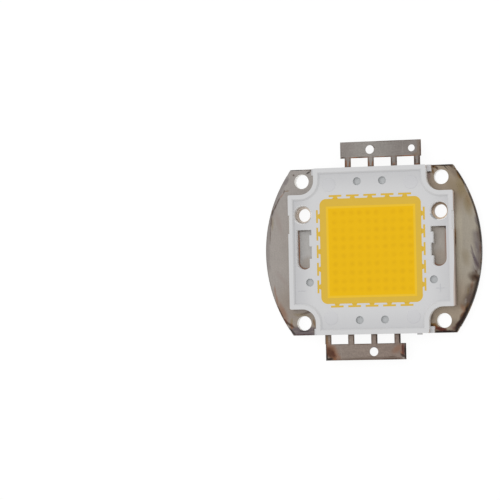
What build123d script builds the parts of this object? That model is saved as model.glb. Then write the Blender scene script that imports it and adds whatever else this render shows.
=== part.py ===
"""High-power LED chip: ten strings of ten dies on a metal base plate.

Millimetres. The origin is the centre of the base plate's back face, +Z is the
way the light leaves, and +Y is the side of the lead with two solder holes.
"""
import os

from build123d import *

# Screw holes and locating holes
screw_spacing_x = 34.0
screw_spacing_y = 34.2
screw_hole_diameter = 3.5
locating_spacing_x = 33.2
locating_offset_y = 9.0
locating_hole_diameter = 3.2

# Base plate, from the walls round its screw holes
plate_thickness = 2.0
plate_side_bulge = 5.44
plate_edge_bevel = 0.2
tab_side_wall = 1.75
tab_end_wall = 1.15
tab_bevel_x = 0.7
tab_bevel_y = 1.25
tab_step_x = 0.26
tab_step_y = 0.25

# Dies in the window
string_count = 10
dies_in_string = 10
die_pitch = 2.0
die_side = 1.0
die_thickness = 0.15

# Moulded frame
frame_side = 40.0
frame_height = 2.4
frame_corner_bevel = 0.25
rim_width = 1.0
rim_slope_width = 0.5
recess_depth = 0.4
screw_head_clearance = 1.6
locating_hole_margin = 0.5
locating_funnel_width = 0.25
locating_funnel_depth = 0.5

# Window in the frame: a well round the dies, and a ledge and a pocket round it
well_margin_x = 1.45
well_margin_y = 1.6
pocket_corner_radius = 1.6
ledge_width_x = 1.35
ledge_width_y = 1.5
well_corner_radius = 0.6

# T-shaped keys that hold the gel in the frame
key_count = 5
key_pitch = 4.22
key_bar_length = 3.1
key_bar_width = 0.45
key_stem_length = 0.43
key_stem_mouth = 1.35
key_stem_neck = 0.95
key_depth = 0.85

# Slots beside the window, with a thicker wall at two places
slot_wall = 2.1
slot_width = 3.75
slot_top_y = 5.35
slot_bottom_y = -4.2
slot_corner_radius = 0.2
slot_pad_thickness = 0.55
slot_upper_pad_top_y = 4.0
slot_upper_pad_bottom_y = 1.4
slot_lower_pad_top_y = -1.65

# Marks that the mould leaves
pin_mark_diameter = 1.9
pin_mark_depth = 0.6
end_pin_mark_x = 3.05
end_pin_mark_y = 16.6
side_pin_mark_x = 15.0
side_pin_mark_y = -7.35
gate_relief_width = 0.45
gate_relief_depth = 1.1
gate_relief_bottom_y = 4.45
gate_relief_top_y = 8.9
gate_stub_x = 11.1
gate_stub_length = 1.2
gate_stub_width = 0.35
gate_stub_height = 0.5

# Feet beside the corner screws
foot_width_right = 1.1
foot_width_left = 0.65
foot_depth = 1.55
foot_height = 1.2

# Dovetail ribs that lock the frame into the plate
lock_rib_y = 16.0
lock_rib_length = 22.0
lock_rib_neck = 1.6
lock_rib_root = 2.3
lock_rib_depth = 0.6

# Leads
lead_thickness = 0.4
lead_lift = 0.5
lead_overhang = 6.15
bar_depth = 3.9
leg_width = 1.45
leg_pitch = 5.6
leg_count = 4
solder_hole_diameter = 2.1
small_hole_diameter = 1.65
small_hole_x = 10.1
positive_first_leg_x = -5.4
positive_bar_start_x = -7.14
positive_bar_end_x = 12.4
negative_first_leg_x = -11.05
negative_bar_start_x = -11.65
negative_bar_end_x = 7.77
bond_strip_margin = 1.0
bond_strip_setback = 0.25
bond_strip_cover = 0.6
lead_plate_setback = 1.8
lead_plate_margin = 0.6

# Bond wires and gel
wire_width = 0.06
wire_rise = 0.35
link_thickness = 0.05
die_pad_offset = 0.25
strip_pad_inset = 0.45
gel_set_down = 0.05

# Levels and places that follow from the sizes
plate_top = plate_thickness
frame_top = plate_top + frame_height
floor_level = frame_top - recess_depth
lead_bottom = plate_top + lead_lift
lead_top = lead_bottom + lead_thickness
gel_top = floor_level - gel_set_down
frame_half = frame_side / 2
notch_radius = screw_hole_diameter / 2 + screw_head_clearance
tab_corner_x = screw_spacing_x / 2 + screw_hole_diameter / 2 + tab_side_wall
tab_end_y = screw_spacing_y / 2 + screw_hole_diameter / 2 + tab_end_wall
side_start_x = tab_corner_x + tab_step_x
side_start_y = tab_end_y - tab_bevel_y - tab_step_y
side_radius = (plate_side_bulge**2 + side_start_y**2) / (2 * plate_side_bulge)
array_width = die_pitch * (string_count - 1) + die_side
array_depth = die_pitch * (dies_in_string - 1) + die_side
well_width = array_width + 2 * well_margin_x
well_depth = array_depth + 2 * well_margin_y
pocket_width = well_width + 2 * ledge_width_x
pocket_depth = well_depth + 2 * ledge_width_y
slot_inner_x = pocket_width / 2 + slot_wall
slot_outer_x = slot_inner_x + slot_width
strip_length = array_width + 2 * bond_strip_margin
lead_plate_edge_y = frame_half - lead_plate_setback
strip_edge_y = well_depth / 2 + bond_strip_setback
strip_pad_y = strip_edge_y + strip_pad_inset
bar_outer_y = frame_half + lead_overhang
bar_inner_y = bar_outer_y - bar_depth
solder_hole_y = bar_outer_y - bar_depth / 2

LEFT_RIGHT = (-1, 1)
CORNERS = [(sx, sy) for sx in LEFT_RIGHT for sy in LEFT_RIGHT]


def block(x_from, x_to, y_from, y_to, z_from, z_to):
    """Box between two opposite corners."""
    size = Box(x_to - x_from, y_to - y_from, z_to - z_from)
    return Pos((x_from + x_to) / 2, (y_from + y_to) / 2, (z_from + z_to) / 2) * size


def span(x_from, x_to, y_from, y_to):
    """Flat rectangle between two opposite corners."""
    x_from, x_to = sorted((x_from, x_to))
    y_from, y_to = sorted((y_from, y_to))
    return Pos((x_from + x_to) / 2, (y_from + y_to) / 2) * Rectangle(x_to - x_from, y_to - y_from)


def prism(sketch, z_from, z_to):
    """Straight solid on a flat outline, between two levels."""
    return extrude(Pos(0, 0, z_from) * sketch, z_to - z_from)


def bore(x, y, diameter, z_from, z_to):
    """Round solid along Z, between two levels."""
    return Pos(x, y, (z_from + z_to) / 2) * Cylinder(diameter / 2, z_to - z_from)


# Base plate
def side_disc(sx):
    """Disc whose bevelled rim gives one curved side of the plate."""
    disc = Cylinder(side_radius, plate_thickness, align=(Align.CENTER, Align.CENTER, Align.MIN))
    disc = chamfer(disc.edges().sort_by(Axis.Z)[-1], plate_edge_bevel)
    return Pos(sx * (side_start_x + plate_side_bulge - side_radius), 0) * disc


def tab_corner(sx, sy):
    """Flat outline of what a tab's bevel and small step take off the plate."""
    beyond_x = side_start_x + plate_side_bulge
    beyond_y = tab_end_y + tab_bevel_y
    points = [
        (tab_corner_x - tab_bevel_x, tab_end_y),
        (tab_corner_x, tab_end_y - tab_bevel_y),
        (side_start_x, side_start_y),
        (beyond_x, side_start_y),
        (beyond_x, beyond_y),
        (tab_corner_x - tab_bevel_x, beyond_y),
    ]
    return make_face(Polyline([(sx * x, sy * y) for x, y in points], close=True))


def lock_ribs():
    """Dovetail ribs under the frame, wider at their root in the plate."""
    ribs = []
    for sy in (-1, 1):
        y = sy * lock_rib_y
        root_z = plate_top - lock_rib_depth
        points = [
            (y - lock_rib_neck / 2, plate_top),
            (y - lock_rib_root / 2, root_z),
            (y + lock_rib_root / 2, root_z),
            (y + lock_rib_neck / 2, plate_top),
        ]
        section = make_face(Polyline([(-lock_rib_length / 2, along, z) for along, z in points], close=True))
        ribs.append(extrude(section, lock_rib_length, dir=(1, 0, 0)))
    return ribs


def make_base_plate():
    plate = side_disc(1) & side_disc(-1) & prism(Rectangle(2 * side_radius, 2 * tab_end_y), 0, plate_top)
    for sx, sy in CORNERS:
        plate -= prism(tab_corner(sx, sy), 0, plate_top)
        plate -= bore(sx * screw_spacing_x / 2, sy * screw_spacing_y / 2, screw_hole_diameter, 0, plate_top)
    for sx in LEFT_RIGHT:
        plate -= bore(sx * locating_spacing_x / 2, locating_offset_y, locating_hole_diameter, 0, plate_top)
    for rib in lock_ribs():
        plate -= rib
    return plate


# Leads
def leg_places(first_leg_x):
    """Centre lines of a lead's legs."""
    return [first_leg_x + leg_pitch * i for i in range(leg_count)]


def make_lead(bar_start_x, bar_end_x, first_leg_x, holes):
    """Lead on the +Y side: solder bar, legs, moulded-in plate and bond strip.

    holes lists the X place and diameter of each hole in the solder bar.
    """
    legs = leg_places(first_leg_x)
    bar = span(bar_start_x, bar_end_x, bar_inner_y, bar_outer_y)
    plate_start = legs[0] - leg_width / 2 - lead_plate_margin
    plate_end = legs[-1] + leg_width / 2 + lead_plate_margin
    strip_root_y = pocket_depth / 2 + bond_strip_cover
    outline = bar + span(plate_start, plate_end, strip_root_y, lead_plate_edge_y)
    outline += span(-strip_length / 2, strip_length / 2, strip_edge_y, strip_root_y)
    for x in legs:
        outline += span(x - leg_width / 2, x + leg_width / 2, lead_plate_edge_y, bar_inner_y)
    lead = prism(outline, lead_bottom, lead_top)
    for x, diameter in holes:
        lead -= bore(x, solder_hole_y, diameter, lead_bottom, lead_top)
    return lead


def make_lead_positive():
    holes = [(0, solder_hole_diameter), (small_hole_x, small_hole_diameter)]
    return make_lead(positive_bar_start_x, positive_bar_end_x, positive_first_leg_x, holes)


def make_lead_negative():
    lead = make_lead(negative_bar_start_x, negative_bar_end_x, negative_first_leg_x, [(0, solder_hole_diameter)])
    return mirror(lead, Plane.XZ)


# Spaces that the frame and the gel share
def rounded(width, depth, radius):
    """Rectangle with round corners, centred on the origin."""
    return RectangleRounded(width, depth, radius)


def key_outline():
    """One T-shaped key pointing along +Y, with its mouth on the X axis."""
    mouth = key_stem_mouth / 2
    neck = key_stem_neck / 2
    bar = key_bar_length / 2
    root = key_stem_length
    half = [
        (mouth, -key_bar_width),
        (mouth, 0),
        (neck, root),
        (bar, root),
        (bar, root + key_bar_width),
    ]
    return make_face(Polyline(half + [(-x, y) for x, y in reversed(half)], close=True))


def key_outlines():
    """All the keys round the window."""
    keys = []
    for turn, reach in ((0, pocket_depth), (90, pocket_width), (180, pocket_depth), (270, pocket_width)):
        for i in range(key_count):
            place = (i - (key_count - 1) / 2) * key_pitch
            keys.append(Rot(0, 0, turn) * Pos(place, reach / 2) * key_outline())
    return keys


def window_space(top):
    """Pocket, keys and well, from the plate up to the level given."""
    space = prism(rounded(pocket_width, pocket_depth, pocket_corner_radius), lead_top, top)
    space += prism(rounded(well_width, well_depth, well_corner_radius), plate_top, lead_top)
    for key in key_outlines():
        space += prism(key, floor_level - key_depth, top)
    return space


# Frame
def screw_head_room(sx, sy, radius):
    """Round-bottomed space beside a screw, open towards the frame's corner."""
    reach = frame_side
    room = Circle(radius) + span(0, sx * reach, -sy * radius, sy * reach)
    room += span(-sx * radius, sx * reach, 0, sy * reach)
    return Pos(sx * screw_spacing_x / 2, sy * screw_spacing_y / 2) * room


def frame_outline(inset):
    """Outline of the frame at a distance inside its outer wall."""
    side = frame_side - 2 * inset
    outline = Rectangle(side, side)
    for sx, sy in CORNERS:
        outline -= screw_head_room(sx, sy, notch_radius + inset)
    return outline


def frame_recess():
    """Sunk floor inside the rim, with sloping sides."""
    upper = Pos(0, 0, frame_top) * frame_outline(rim_width)
    lower = Pos(0, 0, floor_level) * frame_outline(rim_width + rim_slope_width)
    return loft([lower.face(), upper.face()], ruled=True)


def slot_outline(sx):
    """Slot beside the window: square top, round bottom and two wall pads."""
    round_y = slot_bottom_y + slot_width / 2
    straight = span(slot_inner_x, slot_outer_x, round_y, slot_top_y)
    top_corners = straight.vertices().group_by(Axis.Y)[-1]
    slot = fillet(top_corners, slot_corner_radius)
    slot += Pos(slot_inner_x + slot_width / 2, round_y) * Circle(slot_width / 2)
    pad_x = slot_inner_x + slot_pad_thickness
    slot -= span(slot_inner_x, pad_x, slot_upper_pad_bottom_y, slot_upper_pad_top_y)
    slot -= span(slot_inner_x, pad_x, slot_bottom_y, slot_lower_pad_top_y)
    return slot if sx > 0 else mirror(slot, Plane.YZ)


def gate_relief(sx):
    """Wedge cut from the rim's outer edge, where the plastic ran in."""
    top = frame_top
    points = [
        (frame_half - gate_relief_width, top),
        (frame_half, top),
        (frame_half, top - gate_relief_depth),
    ]
    wedge = make_face(Polyline([(sx * x, 0, z) for x, z in points], close=True))
    length = gate_relief_top_y - gate_relief_bottom_y
    return Pos(0, gate_relief_bottom_y, 0) * extrude(wedge, length, dir=(0, 1, 0))


def frame_feet():
    """Low feet on the plate beside the four screw head spaces."""
    feet = []
    for sx, sy in CORNERS:
        wall_x = screw_spacing_x / 2 - notch_radius
        width = foot_width_right if sx > 0 else foot_width_left
        foot = span(sx * wall_x, sx * (wall_x + width), sy * (frame_half - foot_depth), sy * frame_half)
        feet.append(prism(foot, plate_top, plate_top + foot_height))
    return feet


def gate_stub():
    """Small trimmed stub on the frame's lower edge."""
    start = gate_stub_x - gate_stub_length / 2
    end = gate_stub_x + gate_stub_length / 2
    outline = span(start, end, -frame_half, -frame_half - gate_stub_width)
    return prism(outline, plate_top, plate_top + gate_stub_height)


def locating_funnel(sx):
    """Hole round a locating hole, widening towards the front."""
    diameter = locating_hole_diameter + 2 * locating_hole_margin
    x = sx * locating_spacing_x / 2
    hole = bore(x, locating_offset_y, diameter, plate_top, frame_top)
    mouth = Cone(diameter / 2, diameter / 2 + locating_funnel_width, locating_funnel_depth)
    return hole + Pos(x, locating_offset_y, floor_level - locating_funnel_depth / 2) * mouth


def pin_mark(x, y):
    """Blind round hole that a pin of the mould leaves in the frame's floor."""
    return bore(x, y, pin_mark_diameter, floor_level - pin_mark_depth, frame_top)


def make_frame(leads):
    outline = frame_outline(0)
    at_edge = outline.vertices().filter_by(
        lambda v: abs(abs(v.X) - frame_half) < 1e-6 or abs(abs(v.Y) - frame_half) < 1e-6
    )
    outline = chamfer(at_edge, frame_corner_bevel)
    frame = prism(outline, plate_top, frame_top)
    frame -= frame_recess()
    frame -= window_space(frame_top)
    for sx in LEFT_RIGHT:
        frame -= prism(slot_outline(sx), plate_top, frame_top)
        frame -= locating_funnel(sx)
        frame -= gate_relief(sx)
        frame -= pin_mark(sx * side_pin_mark_x, side_pin_mark_y)
    for sx, sy in CORNERS:
        frame -= pin_mark(sx * end_pin_mark_x, sy * end_pin_mark_y)
    for added in frame_feet() + lock_ribs() + [gate_stub()]:
        frame += added
    for lead in leads:
        frame -= lead
    return frame


# Dies, bond wires and gel
def centred(index, count):
    """Place of one die or string in an evenly spaced row, about the middle."""
    return (index - (count - 1) / 2) * die_pitch


def die_places():
    """Places of the dies along a string."""
    return [centred(i, dies_in_string) for i in range(dies_in_string)]


def make_die_string(index):
    x = centred(index, string_count)
    half = die_side / 2
    dies = [block(x - half, x + half, y - half, y + half, plate_top, plate_top + die_thickness) for y in die_places()]
    return Compound(children=dies)


def along_string(x, points):
    """Straight wire solid on a profile of (Y, Z) points, centred on a string."""
    profile = make_face(Polyline([(x - wire_width / 2, y, z) for y, z in points], close=True))
    return extrude(profile, wire_width, dir=(1, 0, 0))


def loop_wire(x, y_from, z_from, y_to, z_to):
    """Wire between a lead's bond strip and a die, in a low peaked loop."""
    half = wire_width / 2
    peak_y = (y_from + y_to) / 2
    peak_z = max(z_from, z_to) + wire_rise
    points = [
        (y_from - half, z_from),
        (peak_y, peak_z),
        (y_to + half, z_to),
        (y_to - half, z_to),
        (peak_y, peak_z - 2 * wire_width),
        (y_from + half, z_from),
    ]
    return along_string(x, points)


def link_wire(x, y_from, y_to):
    """Flat wire from one die's top to the next die's."""
    low = plate_top + die_thickness
    high = low + link_thickness
    return along_string(x, [(y_from, low), (y_to, low), (y_to, high), (y_from, high)])


def make_bond_wires(index):
    x = centred(index, string_count)
    pad_z = plate_top + die_thickness
    places = die_places()
    wires = [loop_wire(x, -strip_pad_y, lead_top, places[0] - die_pad_offset, pad_z)]
    for y, following in zip(places, places[1:]):
        wires.append(link_wire(x, y + die_pad_offset, following - die_pad_offset))
    wires.append(loop_wire(x, places[-1] + die_pad_offset, pad_z, strip_pad_y, lead_top))
    return Compound(children=wires)


def make_gel(inner_pieces):
    gel = window_space(gel_top)
    return gel.cut(*[solid for piece in inner_pieces for solid in piece.solids()])


def build():
    """All the pieces by name."""
    lead_positive = make_lead_positive()
    lead_negative = make_lead_negative()
    nodes = {
        "base_plate": make_base_plate(),
        "frame": make_frame([lead_positive, lead_negative]),
        "lead_positive": lead_positive,
        "lead_negative": lead_negative,
    }
    inner = {}
    for i in range(string_count):
        inner[f"die_string_{i + 1:02d}"] = make_die_string(i)
        inner[f"bond_wires_{i + 1:02d}"] = make_bond_wires(i)
    nodes["phosphor_gel"] = make_gel(inner.values())
    nodes.update(inner)
    return nodes


os.makedirs("parts", exist_ok=True)
for name, shape in build().items():
    export_step(shape, f"parts/{name}.step")
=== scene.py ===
"""Looks of a high-power LED chip: its finishes, gel surface, raised marks, studio and camera.

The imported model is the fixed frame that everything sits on. Sizes in the classes are
millimetres, in the part's own axes, and MM turns them into the metres of the frame.
"""
import logging
import math
from dataclasses import dataclass
from enum import Enum

import bmesh
import bpy
from mathutils import Matrix, Vector


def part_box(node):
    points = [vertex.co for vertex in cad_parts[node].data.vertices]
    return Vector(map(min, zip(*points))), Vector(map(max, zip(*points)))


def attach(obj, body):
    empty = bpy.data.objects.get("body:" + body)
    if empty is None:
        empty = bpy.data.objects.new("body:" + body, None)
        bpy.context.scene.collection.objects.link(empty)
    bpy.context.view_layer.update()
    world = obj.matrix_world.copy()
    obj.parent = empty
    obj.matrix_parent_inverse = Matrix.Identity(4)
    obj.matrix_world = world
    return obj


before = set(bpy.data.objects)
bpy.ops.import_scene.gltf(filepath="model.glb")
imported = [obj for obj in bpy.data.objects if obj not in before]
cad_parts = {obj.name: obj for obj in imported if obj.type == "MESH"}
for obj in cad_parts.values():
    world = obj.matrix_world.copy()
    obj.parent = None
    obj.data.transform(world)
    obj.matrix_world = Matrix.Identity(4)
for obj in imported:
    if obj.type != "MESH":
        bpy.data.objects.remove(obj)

MM = 0.001
ANY_HEIGHT = 1000.0
LOG = logging.getLogger("led_chip")

Colour = tuple[float, float, float, float]
Point = tuple[float, float]
Socket = bpy.types.NodeSocket
Number = float | Socket
Inputs = dict[str, tuple[str, object]]


def paint(red: int, green: int, blue: int) -> Colour:
    """Turns the 0 to 255 values that a screen shows into a linear colour.

    Args:
        red: the screen's red.
        green: the screen's green.
        blue: the screen's blue.

    Returns:
        The colour as a shader socket takes it.
    """
    linear = []
    for value in (red, green, blue):
        share = value / 255
        linear.append(share / 12.92 if share <= 0.04045 else ((share + 0.055) / 1.055) ** 2.4)
    return (*linear, 1.0)


class Tarnish(Enum):
    """What soldering heat and handling left on the plated metal, from the lowest layer up."""

    STRAW = paint(136, 120, 88)
    PINK = paint(146, 126, 120)
    VIOLET = paint(98, 88, 92)
    GOLD = paint(118, 86, 42)
    RUST = paint(138, 88, 54)
    RED = paint(84, 38, 28)
    BROWN = paint(74, 54, 40)
    SCORCH = paint(25, 14, 10)
    BARE = paint(152, 146, 140)


@dataclass(frozen=True)
class Stain:
    """An oval stain with a ragged edge, from one place to another.

    Attributes:
        start: one end of its middle line.
        end: the other end, which may be the same place.
        width: its width.
        tint: what it is made of.
        strength: how much of the metal it hides, up to 1.
        softness: the share of its width over which it fades.
    """

    start: Point
    end: Point
    width: float
    tint: Tarnish
    strength: float
    softness: float = 0.5


@dataclass(frozen=True)
class RimStain:
    """A stain that follows one round edge.

    Attributes:
        centre: the middle of the round edge.
        reach: the distance from there to the middle of the stain.
        width: the width of the stain.
        low: the lowest Y place that it reaches.
        high: the highest Y place that it reaches.
        tint: what it is made of.
        strength: how much of the metal it hides, up to 1.
        softness: the width over which it fades, on each side.
        taper: the length over which its ends fade, on each side.
    """

    centre: Point
    reach: float
    width: float
    low: float
    high: float
    tint: Tarnish
    strength: float
    softness: float = 0.2
    taper: float = 0.8


@dataclass(frozen=True)
class Cast:
    """A slow change of tone about one place.

    Attributes:
        at: its middle.
        reach: how far it goes along X and along Y.
        factor: what it multiplies the metal's red, green and blue by in the middle.
        full_from: the nearness to the middle, from 0 to 1, from which it is full.
    """

    at: Point
    reach: Point
    factor: tuple[float, float, float]
    full_from: float = 0.6


class Wiring:
    """Adds and joins the nodes of one tree."""

    def __init__(self, tree: bpy.types.NodeTree) -> None:
        """Starts with an empty tree.

        Args:
            tree: the tree to fill.
        """
        self.nodes = tree.nodes
        self.links = tree.links
        self.nodes.clear()

    def add(self, kind: str, **inputs: object) -> bpy.types.Node:
        """Adds a node.

        Args:
            kind: the node's type.
            inputs: values or sockets for its inputs, by name with _ for a space.

        Returns:
            The node.
        """
        node = self.nodes.new(kind)
        for name, value in inputs.items():
            self.put(node.inputs[name.replace("_", " ")], value)
        return node

    def put(self, socket: Socket, value: object) -> None:
        """Feeds a socket.

        Args:
            socket: the socket to feed.
            value: the socket to link into it, or the value to set.
        """
        if isinstance(value, bpy.types.NodeSocket):
            self.links.new(value, socket)
        else:
            socket.default_value = value

    def math(self, operation: str, first: Number, second: Number = 0.0,
             third: Number = 0.0) -> Socket:
        """Adds one sum on numbers.

        Args:
            operation: the sum.
            first: its first number.
            second: its second number.
            third: its third number.

        Returns:
            The result.
        """
        node = self.nodes.new("ShaderNodeMath")
        node.operation = operation
        for socket, value in zip(node.inputs, (first, second, third)):
            self.put(socket, value)
        return node.outputs[0]

    def times(self, first: Number, second: Number) -> Socket:
        """Multiplies two numbers."""
        return self.math("MULTIPLY", first, second)

    def plus(self, first: Number, second: Number) -> Socket:
        """Adds two numbers."""
        return self.math("ADD", first, second)

    def minus(self, first: Number, second: Number) -> Socket:
        """Takes the second number from the first."""
        return self.math("SUBTRACT", first, second)

    def most(self, first: Number, second: Number) -> Socket:
        """Returns the larger of two numbers."""
        return self.math("MAXIMUM", first, second)

    def least(self, first: Number, second: Number) -> Socket:
        """Returns the smaller of two numbers."""
        return self.math("MINIMUM", first, second)

    def size(self, value: Number) -> Socket:
        """Returns a number without its sign."""
        return self.math("ABSOLUTE", value)

    def apart(self, first: Number, second: Number) -> Socket:
        """Returns how far apart two numbers are."""
        return self.size(self.minus(first, second))

    def vector(self, operation: str, first: Socket, second: object = (0, 0, 0),
               scale: Number = 1.0) -> Socket:
        """Adds one sum on vectors.

        Args:
            operation: the sum.
            first: its first vector.
            second: its second vector.
            scale: the factor of a scaling.

        Returns:
            The result, which is a number for a length or a distance.
        """
        node = self.nodes.new("ShaderNodeVectorMath")
        node.operation = operation
        self.put(node.inputs[0], first)
        self.put(node.inputs[1], second)
        self.put(node.inputs[3], scale)
        return node.outputs["Value" if operation in ("LENGTH", "DISTANCE") else "Vector"]

    def split(self, vector: Socket) -> list[Socket]:
        """Returns the X, Y and Z of a vector."""
        return list(self.add("ShaderNodeSeparateXYZ", Vector=vector).outputs)

    def fade(self, value: Number, start: Number, end: Number, full: Number = 1.0) -> Socket:
        """Fades smoothly from 0 at one value to the full amount at another.

        Args:
            value: what is looked at.
            start: where the fade is 0.
            end: where the fade is full, on either side of start.
            full: the full amount.

        Returns:
            The fade.
        """
        node = self.nodes.new("ShaderNodeMapRange")
        node.interpolation_type = "SMOOTHSTEP"
        self.put(node.inputs["Value"], value)
        self.put(node.inputs["From Min"], start)
        self.put(node.inputs["From Max"], end)
        self.put(node.inputs["To Max"], full)
        return node.outputs["Result"]

    def between(self, value: Number, low: float, high: float, softness: float) -> Socket:
        """Is 1 from low to high, and fades outside over the softness."""
        above = self.fade(value, low - softness, low + softness)
        return self.times(above, self.fade(value, high + softness, high - softness))

    def noise(self, place: Socket, size: object, detail: float = 2.0,
              seed: float = 0.0) -> bpy.types.Node:
        """Adds a noise whose lumps have a size in the units of the place.

        Args:
            place: where it is read.
            size: the size of its lumps, one number or one for each axis.
            detail: how many finer layers it has.
            seed: which noise it is.

        Returns:
            The noise node.
        """
        sizes = size if isinstance(size, tuple) else (size, size, size)
        scaled = self.vector("MULTIPLY", place, tuple(1 / s for s in sizes))
        node = self.nodes.new("ShaderNodeTexNoise")
        node.noise_dimensions = "4D"
        self.put(node.inputs["Vector"], scaled)
        self.put(node.inputs["W"], seed)
        self.put(node.inputs["Scale"], 1.0)
        self.put(node.inputs["Detail"], detail)
        return node


class Graph(Wiring):
    """The node tree of one material, with its patterns placed in millimetres on the part."""

    def __init__(self, name: str) -> None:
        """Starts a material with a shader on it.

        Args:
            name: the material's name.
        """
        self.material = bpy.data.materials.new(name)
        self.material.use_nodes = True
        super().__init__(self.material.node_tree)
        self.shader = self.nodes.new("ShaderNodeBsdfPrincipled")
        self.output = self.add("ShaderNodeOutputMaterial", Surface=self.shader.outputs["BSDF"])
        seen = self.nodes.new("ShaderNodeTexCoord").outputs["Object"]
        self.place = self.vector("SCALE", seen, scale=1 / MM)
        self.flat = self.vector("MULTIPLY", self.place, (1, 1, 0))
        self.x, self.y, self.z = self.split(self.place)

    def mix(self, share: Number, first: object, second: object, rule: str = "MIX") -> Socket:
        """Blends two colours.

        Args:
            share: the share of the second colour.
            first: the colour or socket at 0.
            second: the colour or socket at 1.
            rule: how the second colour is laid on the first.

        Returns:
            The blend.
        """
        node = self.nodes.new("ShaderNodeMix")
        node.data_type = "RGBA"
        node.blend_type = rule
        self.put(node.inputs[0], share)
        self.put(node.inputs[6], first)
        self.put(node.inputs[7], second)
        return node.outputs[2]

    def shade(self, colour: object, value: Number) -> Socket:
        """Makes a colour lighter or darker.

        Args:
            colour: the colour or socket.
            value: the factor.

        Returns:
            The new colour.
        """
        node = self.nodes.new("ShaderNodeHueSaturation")
        self.put(node.inputs["Color"], colour)
        self.put(node.inputs["Value"], value)
        return node.outputs["Color"]

    def swing(self, noise: bpy.types.Node, middle: float, depth: float) -> Socket:
        """Turns a noise into a number that swings by about the depth about a middle."""
        return self.math("MULTIPLY_ADD", noise.outputs["Fac"], 2 * depth, middle - depth)

    def wander(self, place: Socket, size: float, reach: float, seed: float) -> Socket:
        """Shifts places about at random, which makes edges ragged.

        Args:
            place: where they are.
            size: the size of the lumps of the edge.
            reach: how far a place moves.
            seed: which noise it is.

        Returns:
            The shifted places.
        """
        noise = self.noise(place, size, detail=3.0, seed=seed)
        shift = self.vector("SUBTRACT", noise.outputs["Color"], (0.5, 0.5, 0.5))
        return self.vector("ADD", place, self.vector("SCALE", shift, scale=reach))

    def oval(self, place: Socket, at: Point, reach: Point, turn: float = 0.0) -> Socket:
        """Falls from 1 in the middle of an oval to 0 at its edge.

        Args:
            place: where it is read.
            at: its middle.
            reach: its half length and half width.
            turn: the way its length points.

        Returns:
            The fall.
        """
        node = self.add("ShaderNodeTexGradient", Vector=place)
        node.gradient_type = "SPHERICAL"
        node.texture_mapping.vector_type = "TEXTURE"
        node.texture_mapping.translation = (*at, 0)
        node.texture_mapping.rotation = (0, 0, turn)
        node.texture_mapping.scale = (*reach, ANY_HEIGHT)
        return node.outputs["Fac"]

    def blot(self, place: Socket, stain: Stain) -> Socket:
        """Works out how much an oval stain covers.

        Args:
            place: where it is read.
            stain: the stain.

        Returns:
            The cover.
        """
        start, end = Vector(stain.start), Vector(stain.end)
        middle, along = (start + end) / 2, end - start
        reach = (along.length + stain.width, stain.width)
        fall = self.oval(place, tuple(middle), reach, math.atan2(along.y, along.x))
        return self.fade(fall, 0.5 - stain.softness / 2, 0.5 + stain.softness / 2, stain.strength)

    def tinged(self, colour: object, cast: Cast, strength: Number) -> Socket:
        """Changes a colour slowly about one place.

        Args:
            colour: the colour or socket.
            cast: the change.
            strength: how much of it is made at most.

        Returns:
            The new colour.
        """
        nearness = self.oval(self.flat, cast.at, cast.reach)
        share = self.fade(nearness, 0.0, cast.full_from, strength)
        return self.mix(share, colour, (*cast.factor, 1.0), "MULTIPLY")

    def rim_blot(self, place: Socket, stain: RimStain) -> Socket:
        """Works out how much a stain along a round edge covers.

        Args:
            place: where it is read.
            stain: the stain.

        Returns:
            The cover.
        """
        away = self.vector("DISTANCE", place, (*stain.centre, 0))
        off_line = self.apart(away, stain.reach)
        half = stain.width / 2
        band = self.fade(off_line, half + stain.softness, half - stain.softness, stain.strength)
        return self.times(band, self.between(self.y, stain.low, stain.high, stain.taper))

    def steep(self, limit: float = 0.5, softness: float = 0.04) -> Socket:
        """Finds the walls, where the surface turns away from the front.

        Args:
            limit: how level a wall may be, where 1 is level.
            softness: how far the limit is blurred.

        Returns:
            1 on walls and 0 elsewhere.
        """
        normal = self.nodes.new("ShaderNodeTexCoord").outputs["Normal"]
        rise = self.size(self.split(normal)[2])
        return self.fade(rise, limit + softness, limit - softness)

    def near(self, places: tuple[Point, ...], radius: float, softness: float = 0.08) -> Socket:
        """Returns 1 within a distance of any of some places, given in the right upper quarter.

        Args:
            places: the places, which count in all four quarters.
            radius: the distance.
            softness: the width over which it fades.

        Returns:
            The cover.
        """
        cover = 0.0
        folded = self.vector("ABSOLUTE", self.flat)
        for place in places:
            away = self.vector("DISTANCE", folded, (*place, 0))
            cover = self.most(cover, self.fade(away, radius + softness, radius - softness))
        return cover

    def bump(self, height: Number, depth: float) -> Socket:
        """Turns a height from 0 to 1 into a relief of that depth."""
        node = self.add("ShaderNodeBump", Strength=1.0, Distance=depth * MM, Height=height)
        return node.outputs["Normal"]

    def finish(self, colour: Socket, metallic: Number, roughness: Number,
               normal: Socket) -> bpy.types.Material:
        """Feeds the shader.

        Args:
            colour: the surface's colour.
            metallic: how metallic it is.
            roughness: how rough it is.
            normal: its relief.

        Returns:
            The material.
        """
        self.put(self.shader.inputs["Base Color"], colour)
        self.put(self.shader.inputs["Metallic"], metallic)
        self.put(self.shader.inputs["Roughness"], roughness)
        self.put(self.shader.inputs["Normal"], normal)
        return self.material


@dataclass(frozen=True)
class CutEdge:
    """What the side walls of a metal piece look like.

    Attributes:
        left: the walls at the piece's left side.
        right: the walls at its right side; on the plate their dark tone is painted shade.
        patches: the second tone of the right walls.
        holes: the places of holes, given in the right upper quarter, each with the colour painted
            on its walls in place of their light and shade.
        hole_radius: how far their walls reach.
        patch_size: the size of the patches.
        patch_levels: the levels of their noise between which a patch starts.
    """

    left: Colour
    right: Colour
    patches: Colour
    holes: tuple[tuple[Point, Colour], ...] = ()
    hole_radius: float = 0.0
    patch_size: tuple[float, float, float] = (1.6, 1.6, 4.0)
    patch_levels: Point = (0.5, 0.62)


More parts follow.
